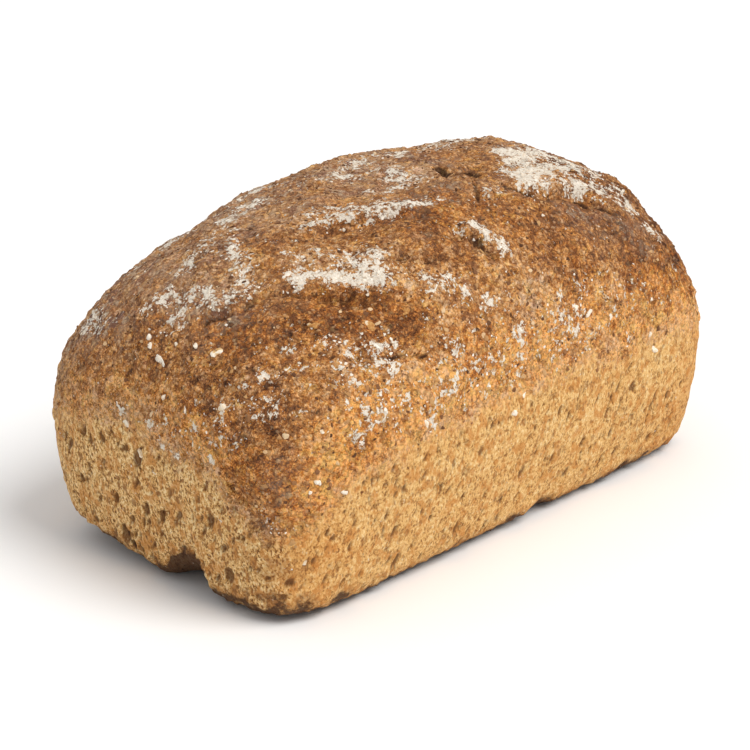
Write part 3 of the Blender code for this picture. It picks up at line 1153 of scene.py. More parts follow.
class Paint(NodeMaker):
    """A material being made: its nodes, and the patterns that its finishes share."""

    def __init__(self, name: str) -> None:
        """Start an empty material with a Principled shader.

        Args:
            name: The material's name.
        """
        self.material = bpy.data.materials.new(name)
        self.material.use_nodes = True
        super().__init__(self.material.node_tree)
        self.shader = self.tree.nodes["Principled BSDF"]
        self.places = self.node("ShaderNodeTexCoord", {}, {}).outputs["Object"]

    def attribute(self, name: str) -> Wire:
        """A number kept on the piece's points."""
        return Wire(self, self.node("ShaderNodeAttribute", {"attribute_name": name}, {}).outputs["Fac"])

    def stretched(self, along: Colour) -> bpy.types.NodeSocket:
        """Object places scaled along each axis.

        Args:
            along: The scale on each axis.

        Returns:
            The scaled places' socket.
        """
        sockets = {"Vector": self.places, "Scale": along}
        return self.node("ShaderNodeMapping", {"vector_type": "POINT"}, sockets).outputs["Vector"]

    def noise(
        self, size: float, detail: float = 2.0, rough: float = 0.5, at: Any = None, swirl: float = 0.0
    ) -> Wire:
        """Cloudy noise around 0.5.

        Args:
            size: Size of its features, in millimetres.
            detail: How many finer layers it has.
            rough: How strong the finer layers are.
            at: Places to use instead of the object's own.
            swirl: How much it is drawn out into swirls.

        Returns:
            The noise's wire.
        """
        sockets = {
            "Vector": at or self.places,
            "Scale": 1 / (size * MM),
            "Detail": detail,
            "Roughness": rough,
            "Distortion": swirl,
        }
        return Wire(self, self.node("ShaderNodeTexNoise", {}, sockets).outputs["Fac"])

    def cells(self, size: float, at: bpy.types.NodeSocket) -> tuple[Wire, Wire, Wire]:
        """Grains that lie close together.

        Args:
            size: Their size in millimetres.
            at: Places to use.

        Returns:
            Distance from each grain's middle, and two random numbers for the grain.
        """
        made = self.node("ShaderNodeTexVoronoi", {}, {"Vector": at, "Scale": 1 / (size * MM)})
        lot = self.node("ShaderNodeSeparateColor", {}, {0: made.outputs["Color"]})
        return Wire(self, made.outputs["Distance"]), Wire(self, lot.outputs[0]), Wire(self, lot.outputs[1])

    def shaken(self, size: float, amount: float, at: Any = None) -> bpy.types.NodeSocket:
        """Places pushed about by noise, so that grains lose their straight edges.

        Args:
            size: Size of the noise's features, in millimetres.
            amount: How far it pushes, in millimetres.
            at: Places to use instead of the object's own.

        Returns:
            The pushed places' socket.
        """
        start = at or self.places
        sockets = {"Vector": start, "Scale": 1 / (size * MM), "Detail": 1.0}
        cloud = self.node("ShaderNodeTexNoise", {}, sockets)
        middle = {0: cloud.outputs["Color"], 1: (0.5, 0.5, 0.5)}
        centre = self.node("ShaderNodeVectorMath", {"operation": "SUBTRACT"}, middle)
        push = {0: centre.outputs[0], "Scale": amount * MM}
        scaled = self.node("ShaderNodeVectorMath", {"operation": "SCALE"}, push)
        moved = self.node("ShaderNodeVectorMath", {"operation": "ADD"}, {0: start, 1: scaled.outputs[0]})
        return moved.outputs[0]

    def mix(self, share: Wire | float, first: Any, second: Any) -> bpy.types.NodeSocket:
        """Blend two colours.

        Args:
            share: 0 gives the first colour and 1 the second.
            first: A colour or a colour socket.
            second: The same.

        Returns:
            The blended colour's socket.
        """
        ends = [(*c, 1.0) if isinstance(c, tuple) else c for c in (first, second)]
        settings = {"data_type": "RGBA", "clamp_factor": True}
        node = self.node("ShaderNodeMix", settings, {0: share, 6: ends[0], 7: ends[1]})
        return node.outputs[2]

    def tinted(self, colour: bpy.types.NodeSocket, tint: bpy.types.NodeSocket) -> bpy.types.NodeSocket:
        """A colour times a tint."""
        return self.node("ShaderNodeVectorMath", {"operation": "MULTIPLY"}, {0: colour, 1: tint}).outputs[0]

    def ramp(self, value: Wire, stops: Stops) -> bpy.types.NodeSocket:
        """Colours along a value."""
        return self.node("ShaderNodeValToRGB", {"stops": stops}, {"Fac": value}).outputs["Color"]

    def finish(
        self, colour: bpy.types.NodeSocket, roughness: Wire | float, height: Wire, depth: float
    ) -> None:
        """Feed the shader.

        Args:
            colour: Colour socket.
            roughness: Number or wire.
            height: Relief from 0 to 1.
            depth: What a height of 1 stands for, in millimetres.
        """
        sockets = {"Strength": 1.0, "Distance": depth * MM, "Height": height}
        relief = self.node("ShaderNodeBump", {}, sockets)
        self.feed(self.shader.inputs["Base Color"], colour)
        self.feed(self.shader.inputs["Roughness"], roughness)
        self.feed(self.shader.inputs["Normal"], relief.outputs[0])
        self.feed(self.shader.inputs["Specular IOR Level"], SHEEN)


@dataclass(frozen=True)
class BakedSkin:
    """Finish of the skin: honey-coloured tin sides, grained brown crust, flour, greyed crust with painted
    sheen, burnt edges, and painted shade in the pores, splits and crevices.
    """

    cream: Colour = (0.94, 0.72, 0.40)
    straw: Colour = (0.86, 0.55, 0.22)
    honey: Colour = (0.69, 0.37, 0.115)
    apricot: Colour = (0.60, 0.245, 0.055)
    # toasted brown, also the painted shade in the shader's holes and pricks
    toast_and_pit_shade: Colour = (0.34, 0.145, 0.045)
    # darkest tin tone, also the painted shade deep in the pores
    pore: Colour = (0.13, 0.052, 0.02)
    wafer: Colour = (0.855, 0.617, 0.402)
    biscuit: Colour = (0.737, 0.479, 0.266)
    ochre: Colour = (0.612, 0.340, 0.142)
    orange: Colour = (0.492, 0.238, 0.086)
    chestnut: Colour = (0.372, 0.168, 0.061)
    rust: Colour = (0.223, 0.094, 0.037)
    # deep brown of the crust, also the painted shade in its gaps and cracks
    umber_and_crevice_shade: Colour = (0.127, 0.051, 0.022)
    # darkest crust tone, also the painted shade inside the splits
    soot_and_split_shade: Colour = (0.032, 0.013, 0.007)
    plum: Colour = (0.21, 0.105, 0.078)
    # pale end of the greying: painted sheen of skimming light
    haze: Colour = (0.70, 0.52, 0.35)
    mottle: Colour = (0.60, 0.39, 0.16)
    flour: Colour = (0.97, 0.885, 0.76)
    dull_flour: Colour = (0.80, 0.61, 0.405)
    hues: tuple[tuple[float, Colour], ...] = (
        (0.36, (0.98, 0.87, 0.90)),
        (0.46, (1.03, 0.98, 0.90)),
        (0.53, (1.16, 0.91, 0.60)),
        (0.66, (1.05, 0.98, 0.60)),
    )
    plain: Colour = (1.0, 1.0, 1.0)
    glow: Colour = (1.10, 0.93, 0.70)
    dusk: Colour = (0.94, 0.84, 0.74)
    char: Colour = (0.05, 0.022, 0.015)
    fibre_size: float = 0.8
    cloud_size: float = 4.5
    warm_size: float = 3.0
    brown_size: float = 2.2
    hole_size: float = 2.7
    prick_size: float = 1.2
    hole_share: float = 0.46
    grain_size: float = 1.15
    crumb_size: float = 2.3
    fine_size: float = 0.5
    blotch_size: float = 4.0
    fleck_size: float = 2.1
    hue_size: float = 3.2
    island_size: float = 2.8
    gap_size: float = 1.3
    vein_size: float = 3.4
    clump_size: float = 1.4
    drift_size: float = 3.2
    powder_size: float = 0.8
    roughness: float = 0.84
    flour_roughness: float = 0.08
    relief: float = 0.6

    def tin_side(self, paint: Paint) -> tuple[bpy.types.NodeSocket, Wire]:
        """The skin that met the tin: fine crumb fibre, warm patches and small pores, darkened inside as
        painted shade.

        Args:
            paint: The material being made.

        Returns:
            Its colour and its relief.
        """
        tall = paint.stretched((1.0, 1.0, 0.68))
        end = paint.attribute("end")
        fibre = paint.noise(self.fibre_size, 4.0, 0.72, tall, 0.4)
        cloud = paint.noise(self.cloud_size, 3.0, 0.6)
        tone = (fibre - 0.5) * (2.2 + end * 1.7) + (cloud - 0.5) * 0.6 + 0.53
        dark = ((0.02, self.pore), (0.2, self.toast_and_pit_shade))
        colour = paint.ramp(tone, dark + ((0.4, self.honey), (0.66, self.straw), (0.92, self.cream)))
        warm = paint.noise(self.warm_size, 3.0, 0.6, tall).step(0.5, 0.6)
        colour = paint.mix(warm * 0.66, colour, self.apricot)
        colour = paint.tinted(colour, paint.mix(paint.attribute("ochre"), self.plain, self.dusk))
        brown = paint.noise(self.brown_size, 3.0, 0.6, tall, 0.4).step(0.63, 0.69)
        colour = paint.mix(brown * 0.4, colour, self.toast_and_pit_shade)
        loose = paint.shaken(1.2, 1.2, tall)
        away, wide, _ = paint.cells(self.hole_size, loose)
        hole = (wide * self.hole_share - away).step(0.02, 0.2)
        away, wide, _ = paint.cells(self.prick_size, paint.shaken(0.7, 0.8, tall))
        pricks = (wide * self.hole_share - away).step(0.0, 0.1)
        # painted shade in the pores: the shader's holes and pricks, and the mesh's pits by their depth
        colour = paint.mix(hole * (0.5 + end * 0.3), colour, self.toast_and_pit_shade)
        colour = paint.mix(pricks * (0.6 + end * 0.25), colour, self.toast_and_pit_shade)
        colour = paint.mix(paint.attribute("pore").step(0.1, 0.75) * 0.8, colour, self.pore)
        return colour, fibre * 0.9 - hole * 0.7 - pricks * 0.3

    def open_crust(self, paint: Paint) -> tuple[bpy.types.NodeSocket, Wire]:
        """The risen crust: grains of biscuit, ochre, orange, rust and deep brown, with painted shade in the
        gaps and fine cracks between them.

        Args:
            paint: The material being made.

        Returns:
            Its colour and its relief.
        """
        edge, pick, other = paint.cells(self.grain_size, paint.shaken(0.9, 1.0))
        _, large, _ = paint.cells(self.crumb_size, paint.shaken(1.6, 1.6))
        fine = paint.noise(self.fine_size, 4.0, 0.7)
        blotch = paint.noise(self.blotch_size, 4.0, 0.68, None, 0.5)
        end = paint.attribute("end")
        lot = (pick - 0.5) * 0.2 + (large - 0.5) * 0.16
        lot = lot + (fine - 0.5) * (1.3 + end * 0.5) + (blotch - 0.5) * 0.95
        flecks = paint.noise(self.fleck_size, 4.0, 0.7, None, 0.9)
        crumb = (1 - flecks.step(0.4, 0.46)) * 0.2 - flecks.step(0.54, 0.6) * 0.2
        tone = paint.attribute("dark") + lot + crumb * (1 + end * 0.3) + 0.045
        light = ((0.05, self.wafer), (0.155, self.biscuit), (0.3, self.ochre), (0.405, self.orange))
        deep = ((0.5, self.chestnut), (0.65, self.rust), (0.775, self.umber_and_crevice_shade), (1.0, self.soot_and_split_shade))
        colour = paint.ramp(tone, light + deep)
        hue = paint.noise(self.hue_size, 4.0, 0.66, None, 0.7)
        hue = hue + paint.attribute("ochre") * 0.07 - paint.attribute("ash") * 0.07
        colour = paint.tinted(colour, paint.ramp(hue, self.hues))
        colour = paint.tinted(colour, paint.mix(paint.attribute("ochre"), self.plain, self.glow))
        speck = other.step(0.86, 0.9) * (0.62 - edge).step(0.0, 0.2)
        colour = paint.mix(speck * 0.4, colour, self.biscuit)
        island = paint.noise(self.island_size, 4.0, 0.65, None, 0.8).step(0.55, 0.62)
        colour = paint.mix(island * paint.attribute("ochre") * 0.42, colour, self.mottle)
        # greying and painted sheen: grey-plum tone and pale haze on the back of the top and the high edges
        ash = paint.attribute("ash") * (large * 0.5 + fine).step(0.55, 0.95)
        grey = paint.mix((blotch - 0.06).step(0.4, 0.52), self.plum, self.haze)
        colour = paint.mix(ash * 0.6, colour, grey)
        # painted shade: gaps, grain edges and fine cracks are darkened where the relief sinks, standing in for
        # the shade inside them
        gaps = paint.noise(self.gap_size, 3.0, 0.6).step(0.61, 0.72)
        colour = paint.mix(gaps * 0.45 + (edge - 0.42).step(0.0, 0.25) * 0.4, colour, self.umber_and_crevice_shade)
        vein = paint.noise(self.vein_size, 4.0, 0.6, None, 0.3) - 0.5
        vein = (1 - vein.most(0 - vein).step(0.0, 0.022)) * paint.noise(7.0, 2.0, 0.5).step(0.5, 0.6)
        colour = paint.mix(vein * 0.6, colour, self.umber_and_crevice_shade)
        gaps = gaps.most(vein)
        return colour, fine * 1.1 - edge * 0.6 + blotch * 0.3 - gaps * 0.5

    def dusted(self, paint: Paint, colour: bpy.types.NodeSocket) -> tuple[bpy.types.NodeSocket, Wire]:
        """Lay flour on a colour: a thin haze, and broken white clumps where it is thick.

        Args:
            paint: The material being made.
            colour: What the flour lies on.

        Returns:
            The floured colour, and how thick the flour is.
        """
        amount = paint.attribute("flour") - paint.attribute("split") * 0.9
        clumps = paint.noise(self.clump_size, 4.0, 0.66)
        drift = paint.noise(self.drift_size, 3.0, 0.6, None, 0.6)
        veil = (amount * 0.6 + (clumps - 0.5) * 1.5 + (drift - 0.5) * 1.1).step(0.56, 1.0)
        colour = paint.mix(veil * 0.5, colour, self.dull_flour)
        thick = (amount * 0.5 + (clumps - 0.5) * 1.8 + (drift - 0.5) * 1.6).step(0.45, 0.6)
        powder = paint.noise(self.powder_size, 4.0, 0.75)
        white = paint.mix((powder + (thick - 0.7) * 0.2).step(0.36, 0.54), self.dull_flour, self.flour)
        thick = thick * (0.95 - paint.noise(1.0, 3.0, 0.7, None, 0.4).step(0.53, 0.66) * 0.75)
        return paint.mix(thick, colour, white), thick

    def make(self) -> bpy.types.Material:
        """Build the material.

        Returns:
            The finished material.
        """
        paint = Paint("baked_skin")
        side, side_relief = self.tin_side(paint)
        top, top_relief = self.open_crust(paint)
        crust = (paint.attribute("crust") + (paint.noise(1.6, 4.0, 0.7) - 0.5) * 1.5).step(0.25, 0.75)
        colour = paint.mix(crust, side, top)
        burn = paint.attribute("burn") + (paint.noise(1.5, 4.0, 0.7) - 0.5) * 1.1
        colour = paint.mix(burn.step(0.1, 0.6) * 0.45, colour, self.toast_and_pit_shade)
        colour = paint.mix(burn.step(0.55, 0.9) * 0.85, colour, self.char)
        # painted shade: the splits are darkened to near black as the shadow inside the cracks
        colour = paint.mix(paint.attribute("split").step(0.35, 0.95) * 0.85, colour, self.soot_and_split_shade)
        colour, flour = self.dusted(paint, colour)
        height = crust * top_relief + (1 - crust) * side_relief + flour * 0.3
        paint.finish(colour, self.roughness + self.flour_roughness * flour, height, self.relief)
        return paint.material


@dataclass(frozen=True)
class BitPaint:
    """Finish of loose bits: a run of colours by each bit's own tint, mottled a little."""

    name: str
    colours: tuple[Colour, ...]
    mottle: float = 0.25
    grain_size: float = 0.6
    roughness: float = 0.88
    relief: float = 0.2

    def make(self) -> bpy.types.Material:
        """Build the material.

        Returns:
            The finished material.
        """
        paint = Paint(self.name)
        last = len(self.colours) - 1
        stops = [(k / last, colour) for k, colour in enumerate(self.colours)]
        grain = paint.noise(self.grain_size, 3.0, 0.6)
        tone = paint.attribute("tint") + (grain - 0.5) * self.mottle
        paint.finish(paint.ramp(tone, stops), self.roughness, grain, self.relief)
        return paint.material


@dataclass(frozen=True)
class Scatter:
    """Loose bits of one kind that lie all over the part of the skin that a mark picks out."""

    name: str
    mark: str
    power: float
    per_area: float
    seed: int
    smallest: float
    largest: float
    flatness: float
    finish: BitPaint
    lumps: float = 0.45
    shapes: int = 3
    lean: float = 0.35
    lump_scale: float = 1.6
    narrowest: float = 0.62
    widening: float = 0.19

    def tree(self, material: bpy.types.Material) -> bpy.types.NodeTree:
        """Build the node tree that strews the bits.

        Args:
            material: What the bits are made of.

        Returns:
            The tree, whose inputs are the skin, Density, Smallest, Largest and Seed.
        """
        group = bpy.data.node_groups.new(self.name, "GeometryNodeTree")
        group.interface.new_socket("Skin", in_out="INPUT", socket_type="NodeSocketGeometry")
        for title in ("Density", "Smallest", "Largest"):
            group.interface.new_socket(title, in_out="INPUT", socket_type="NodeSocketFloat")
        group.interface.new_socket("Seed", in_out="INPUT", socket_type="NodeSocketInt")
        group.interface.new_socket("Bits", in_out="OUTPUT", socket_type="NodeSocketGeometry")
        maker = NodeMaker(group)
        start = maker.node("NodeGroupInput", {}, {})
        mark = maker.node("GeometryNodeInputNamedAttribute", {"data_type": "FLOAT"}, {"Name": self.mark})
        power = {0: mark.outputs["Attribute"], 1: self.power}
        raised = maker.node("ShaderNodeMath", {"operation": "POWER"}, power)
        product = {0: raised.outputs[0], 1: start.outputs["Density"]}
        density = maker.node("ShaderNodeMath", {"operation": "MULTIPLY"}, product)
        places = {"Mesh": start.outputs["Skin"], "Density": density.outputs[0], "Seed": start.outputs["Seed"]}
        strewn = maker.node("GeometryNodeDistributePointsOnFaces", {}, places)
        spin = {0: (-self.lean, -self.lean, 0.0), 1: (self.lean, self.lean, math.tau), "Seed": self.seed + 1}
        turn = maker.node("FunctionNodeRandomValue", {"data_type": "FLOAT_VECTOR"}, spin)
        turned = {"Rotation": strewn.outputs["Rotation"], "Rotate By": turn.outputs[0]}
        local = maker.node("FunctionNodeRotateRotation", {"rotation_space": "LOCAL"}, turned)
        sizes = {2: 0.0, 3: 1.0, "Seed": self.seed + 2}
        chance = maker.node("FunctionNodeRandomValue", {"data_type": "FLOAT"}, sizes)
        squared = maker.node("ShaderNodeMath", {"operation": "POWER"}, {0: chance.outputs[1], 1: 2.0})
        limits = {"To Min": start.outputs["Smallest"], "To Max": start.outputs["Largest"]}
        size = maker.node("ShaderNodeMapRange", {}, {"Value": squared.outputs[0], **limits})
        placed = {
            "Points": strewn.outputs["Points"],
            "Instance": self._shapes(maker),
            "Rotation": local.outputs[0],
            "Scale": size.outputs["Result"],
        }
        bits = maker.node("GeometryNodeInstanceOnPoints", {}, placed)
        bits.inputs["Pick Instance"].default_value = True
        tints = {2: 0.0, 3: 1.0, "Seed": self.seed + 3}
        tint = maker.node("FunctionNodeRandomValue", {"data_type": "FLOAT"}, tints)
        stored = {"Geometry": bits.outputs[0], "Name": "tint", "Value": tint.outputs[1]}
        kind = {"data_type": "FLOAT", "domain": "INSTANCE"}
        kept = maker.node("GeometryNodeStoreNamedAttribute", kind, stored)
        real = maker.node("GeometryNodeRealizeInstances", {}, {0: kept.outputs[0]})
        made = {"Geometry": real.outputs[0], "Material": material}
        painted = maker.node("GeometryNodeSetMaterial", {}, made)
        maker.node("NodeGroupOutput", {}, {0: painted.outputs[0]})
        return group

    def _shapes(self, maker: NodeMaker) -> bpy.types.NodeSocket:
        """A few lumpy bits of size 1 to pick from.

        Args:
            maker: The tree that they go into.

        Returns:
            The socket that they come out of.
        """
        gathered = maker.node("GeometryNodeGeometryToInstance", {}, {})
        for number in range(self.shapes):
            ball = maker.node("GeometryNodeMeshIcoSphere", {}, {"Radius": 0.5, "Subdivisions": 1})
            place = maker.node("GeometryNodeInputPosition", {}, {})
            shift = {0: place.outputs[0], 1: (7.1 * number + self.seed, 3.3, 1.7)}
            moved = maker.node("ShaderNodeVectorMath", {"operation": "ADD"}, shift)
            sockets = {"Vector": moved.outputs[0], "Scale": self.lump_scale}
            cloud = maker.node("ShaderNodeTexNoise", {}, sockets)
            centre = {0: cloud.outputs["Color"], 1: (0.5, 0.5, 0.5)}
            swing = maker.node("ShaderNodeVectorMath", {"operation": "SUBTRACT"}, centre)
            push = {0: swing.outputs[0], "Scale": 2 * self.lumps}
            offset = maker.node("ShaderNodeVectorMath", {"operation": "SCALE"}, push)
            bent = {"Geometry": ball.outputs["Mesh"], "Offset": offset.outputs[0]}
            lumpy = maker.node("GeometryNodeSetPosition", {}, bent)
            wide = self.narrowest + self.widening * number
            flat = {"Geometry": lumpy.outputs[0], "Scale": (1.0, wide, self.flatness)}
            shaped = maker.node("GeometryNodeTransform", {}, flat)
            maker.feed(gathered.inputs[0], shaped.outputs[0])
        return gathered.outputs[0]

    def strew(self, skin: bpy.types.Object) -> bpy.types.Object:
        """Strew the bits over the skin as one real mesh.

        Args:
            skin: What they lie on, with the mark on its points.

        Returns:
            The bits' object.
        """
        carrier = bpy.data.objects.new(f"{self.name}_carrier", skin.data.copy())
        bpy.context.scene.collection.objects.link(carrier)
        group = self.tree(self.finish.make())
        modifier = carrier.modifiers.new(self.name, "NODES")
        modifier.node_group = group
        values = {
            "Density": self.per_area / MM ** 2,
            "Smallest": self.smallest * MM,
            "Largest": self.largest * MM,
            "Seed": self.seed,
        }
        for item in group.interface.items_tree:
            if item.name in values:
                modifier[item.identifier] = values[item.name]
        evaluated = carrier.evaluated_get(bpy.context.evaluated_depsgraph_get())
        mesh = bpy.data.meshes.new_from_object(evaluated)
        mesh.name = self.name
        carrier.modifiers.remove(modifier)
        bpy.data.objects.remove(carrier)
        bits = bpy.data.objects.new(self.name, mesh)
        bpy.context.scene.collection.objects.link(bits)
        return bits


FLAKE_COLOURS = (
    (0.16, 0.06, 0.025), (0.42, 0.18, 0.05), (0.62, 0.36, 0.13), (0.80, 0.64, 0.44), (0.93, 0.85, 0.73),
)
FLOUR_COLOURS = ((0.72, 0.60, 0.46), (0.86, 0.76, 0.63), (0.93, 0.86, 0.76))
GRIT_COLOURS = ((0.09, 0.04, 0.02), (0.20, 0.09, 0.04), (0.34, 0.16, 0.065), (0.52, 0.29, 0.12))
BRAN_COLOURS = ((0.34, 0.16, 0.06), (0.48, 0.26, 0.10), (0.60, 0.37, 0.18), (0.74, 0.55, 0.34))
BITS = (
    Scatter(
        "flour_clumps", "flour", power=2.4, per_area=0.28, seed=11, smallest=0.3, largest=1.2,
        flatness=0.35, finish=BitPaint("flour_paint", FLOUR_COLOURS), lumps=0.7,
    ),
    Scatter(
        "crust_grits", "bare", power=1.5, per_area=0.12, seed=29, smallest=0.5, largest=1.8,
        flatness=0.35, finish=BitPaint("grit_paint", GRIT_COLOURS), lumps=0.8,
    ),
    Scatter(
        "bran_flakes", "bare", power=1.5, per_area=0.008, seed=47, smallest=0.8, largest=2.4,
        flatness=0.22, finish=BitPaint("bran_paint", BRAN_COLOURS),
    ),
)


@dataclass(frozen=True)
class Lamp:
    """A broad even light from one direction."""

    towards: tuple[float, float, float]
    strength: float
    spread: float
    tint: Colour = (1.0, 1.0, 1.0)

    def hang(self, name: str) -> None:
        """Add the lamp to the scene.

        Args:
            name: The lamp's name.
        """
        light = bpy.data.lights.new(name, "SUN")
        light.energy = self.strength
        light.angle = math.radians(self.spread)
        light.color = self.tint
        item = bpy.data.objects.new(name, light)
        item.rotation_euler = Vector(self.towards).to_track_quat("Z", "Y").to_euler()
        bpy.context.scene.collection.objects.link(item)


@dataclass
class Studio:
    """Pale floor, soft light and the camera at the photograph's view."""

    azimuth: float = -46.58
    elevation: float = 19.47
    distance: float = 720.6
    aim_height: float = 60.0
    shift: tuple[float, float, float] = (0.05, -0.26, 0.0)
    pan: float = 0.422
    tilt: float = 1.539
    roll: float = -0.606
    lens: float = 106.94
    floor_size: float = 30000.0
    floor_colour: Colour = (0.94, 0.94, 0.94)
    floor_shade: Colour = (0.9259, 0.9259, 0.9259)
    floor_grain: float = 40.0
    floor_roughness: float = 0.9
    floor_relief: float = 0.02
    sky_colour: Colour = (1.0, 1.0, 1.0)
    sky_strength: float = 0.47
    lamps: tuple[tuple[str, Lamp], ...] = (
        ("key", Lamp((0.16, -0.58, 0.8), 2.3, 34.0, (1.0, 0.985, 0.96))),
        ("top", Lamp((-0.1, 0.1, 1.0), 0.45, 70.0)),
    )

    def camera(self) -> None:
        """Place the camera."""
        azimuth, elevation = math.radians(self.azimuth), math.radians(self.elevation)
        aim = Vector((0, 0, self.aim_height)) + Vector(self.shift)
        eye = aim + self._back(azimuth, elevation) * self.distance
        turned = azimuth + math.radians(self.pan)
        back = self._back(turned, elevation + math.radians(self.tilt))
        level = Vector((math.cos(turned), math.sin(turned), 0))
        upright = back.cross(level)
        roll = math.radians(self.roll)
        right = level * math.cos(roll) + upright * math.sin(roll)
        up = upright * math.cos(roll) - level * math.sin(roll)
        lens = bpy.data.cameras.new("camera")
        lens.lens = self.lens
        lens.clip_start = 0.01
        view = bpy.data.objects.new("camera", lens)
        view.matrix_world = Matrix.Translation(eye * MM) @ Matrix((right, up, back)).transposed().to_4x4()
        bpy.context.scene.collection.objects.link(view)
        bpy.context.scene.camera = view

    @staticmethod
    def _back(azimuth: float, elevation: float) -> Vector:
        """Direction from the loaf towards the camera.

        Args:
            azimuth: Turn round the loaf, in radians.
            elevation: Height over the floor, in radians.

        Returns:
            A direction of length 1.
        """
        level = math.cos(elevation)
        return Vector((math.sin(azimuth) * level, -math.cos(azimuth) * level, math.sin(elevation)))

    def floor(self) -> bpy.types.Object:
        """Make the floor.

        Returns:
            The floor's object.
        """
        half = self.floor_size / 2 * MM
        mesh = bpy.data.meshes.new("floor")
        corners = [(-half, -half, 0), (half, -half, 0), (half, half, 0), (-half, half, 0)]
        mesh.from_pydata(corners, [], [(0, 1, 2, 3)])
        ground = bpy.data.objects.new("floor", mesh)
        bpy.context.scene.collection.objects.link(ground)
        paint = Paint("floor_paint")
        grain = paint.noise(self.floor_grain, 2.0, 0.5)
        shade = paint.mix(grain, self.floor_colour, self.floor_shade)
        paint.finish(shade, self.floor_roughness, grain, self.floor_relief)
        mesh.materials.append(paint.material)
        return ground

    def lights(self) -> None:
        """Light the loaf: a soft sky, a broad key on the long side and a weak fill."""
        world = bpy.data.worlds.new("studio")
        world.use_nodes = True
        sky = world.node_tree.nodes["Background"]
        sky.inputs["Color"].default_value = (*self.sky_colour, 1.0)
        sky.inputs["Strength"].default_value = self.sky_strength
        bpy.context.scene.world = world
        for name, lamp in self.lamps:
            lamp.hang(name)


@dataclass(frozen=True)
class Bit:
    """One flake, kernel or lump on the skin: its half sizes, turn and tint."""

    spot: Vector
    normal: Vector
    length: float
    width: float
    height: float
    turn: float
    sink: float
    tint: float

    def placing(self) -> Matrix:
        """Where the bit stands.

        Returns:
            Its size, turn and place in one matrix.
        """
        facing = self.normal.to_track_quat("Z", "X").to_matrix().to_4x4()
        size = Matrix.Diagonal((self.length / 2, self.width / 2, self.height / 2, 1.0))
        base = Matrix.Translation(self.spot - self.normal * self.sink)
        return base @ facing @ Matrix.Rotation(self.turn, 4, "Z") @ size


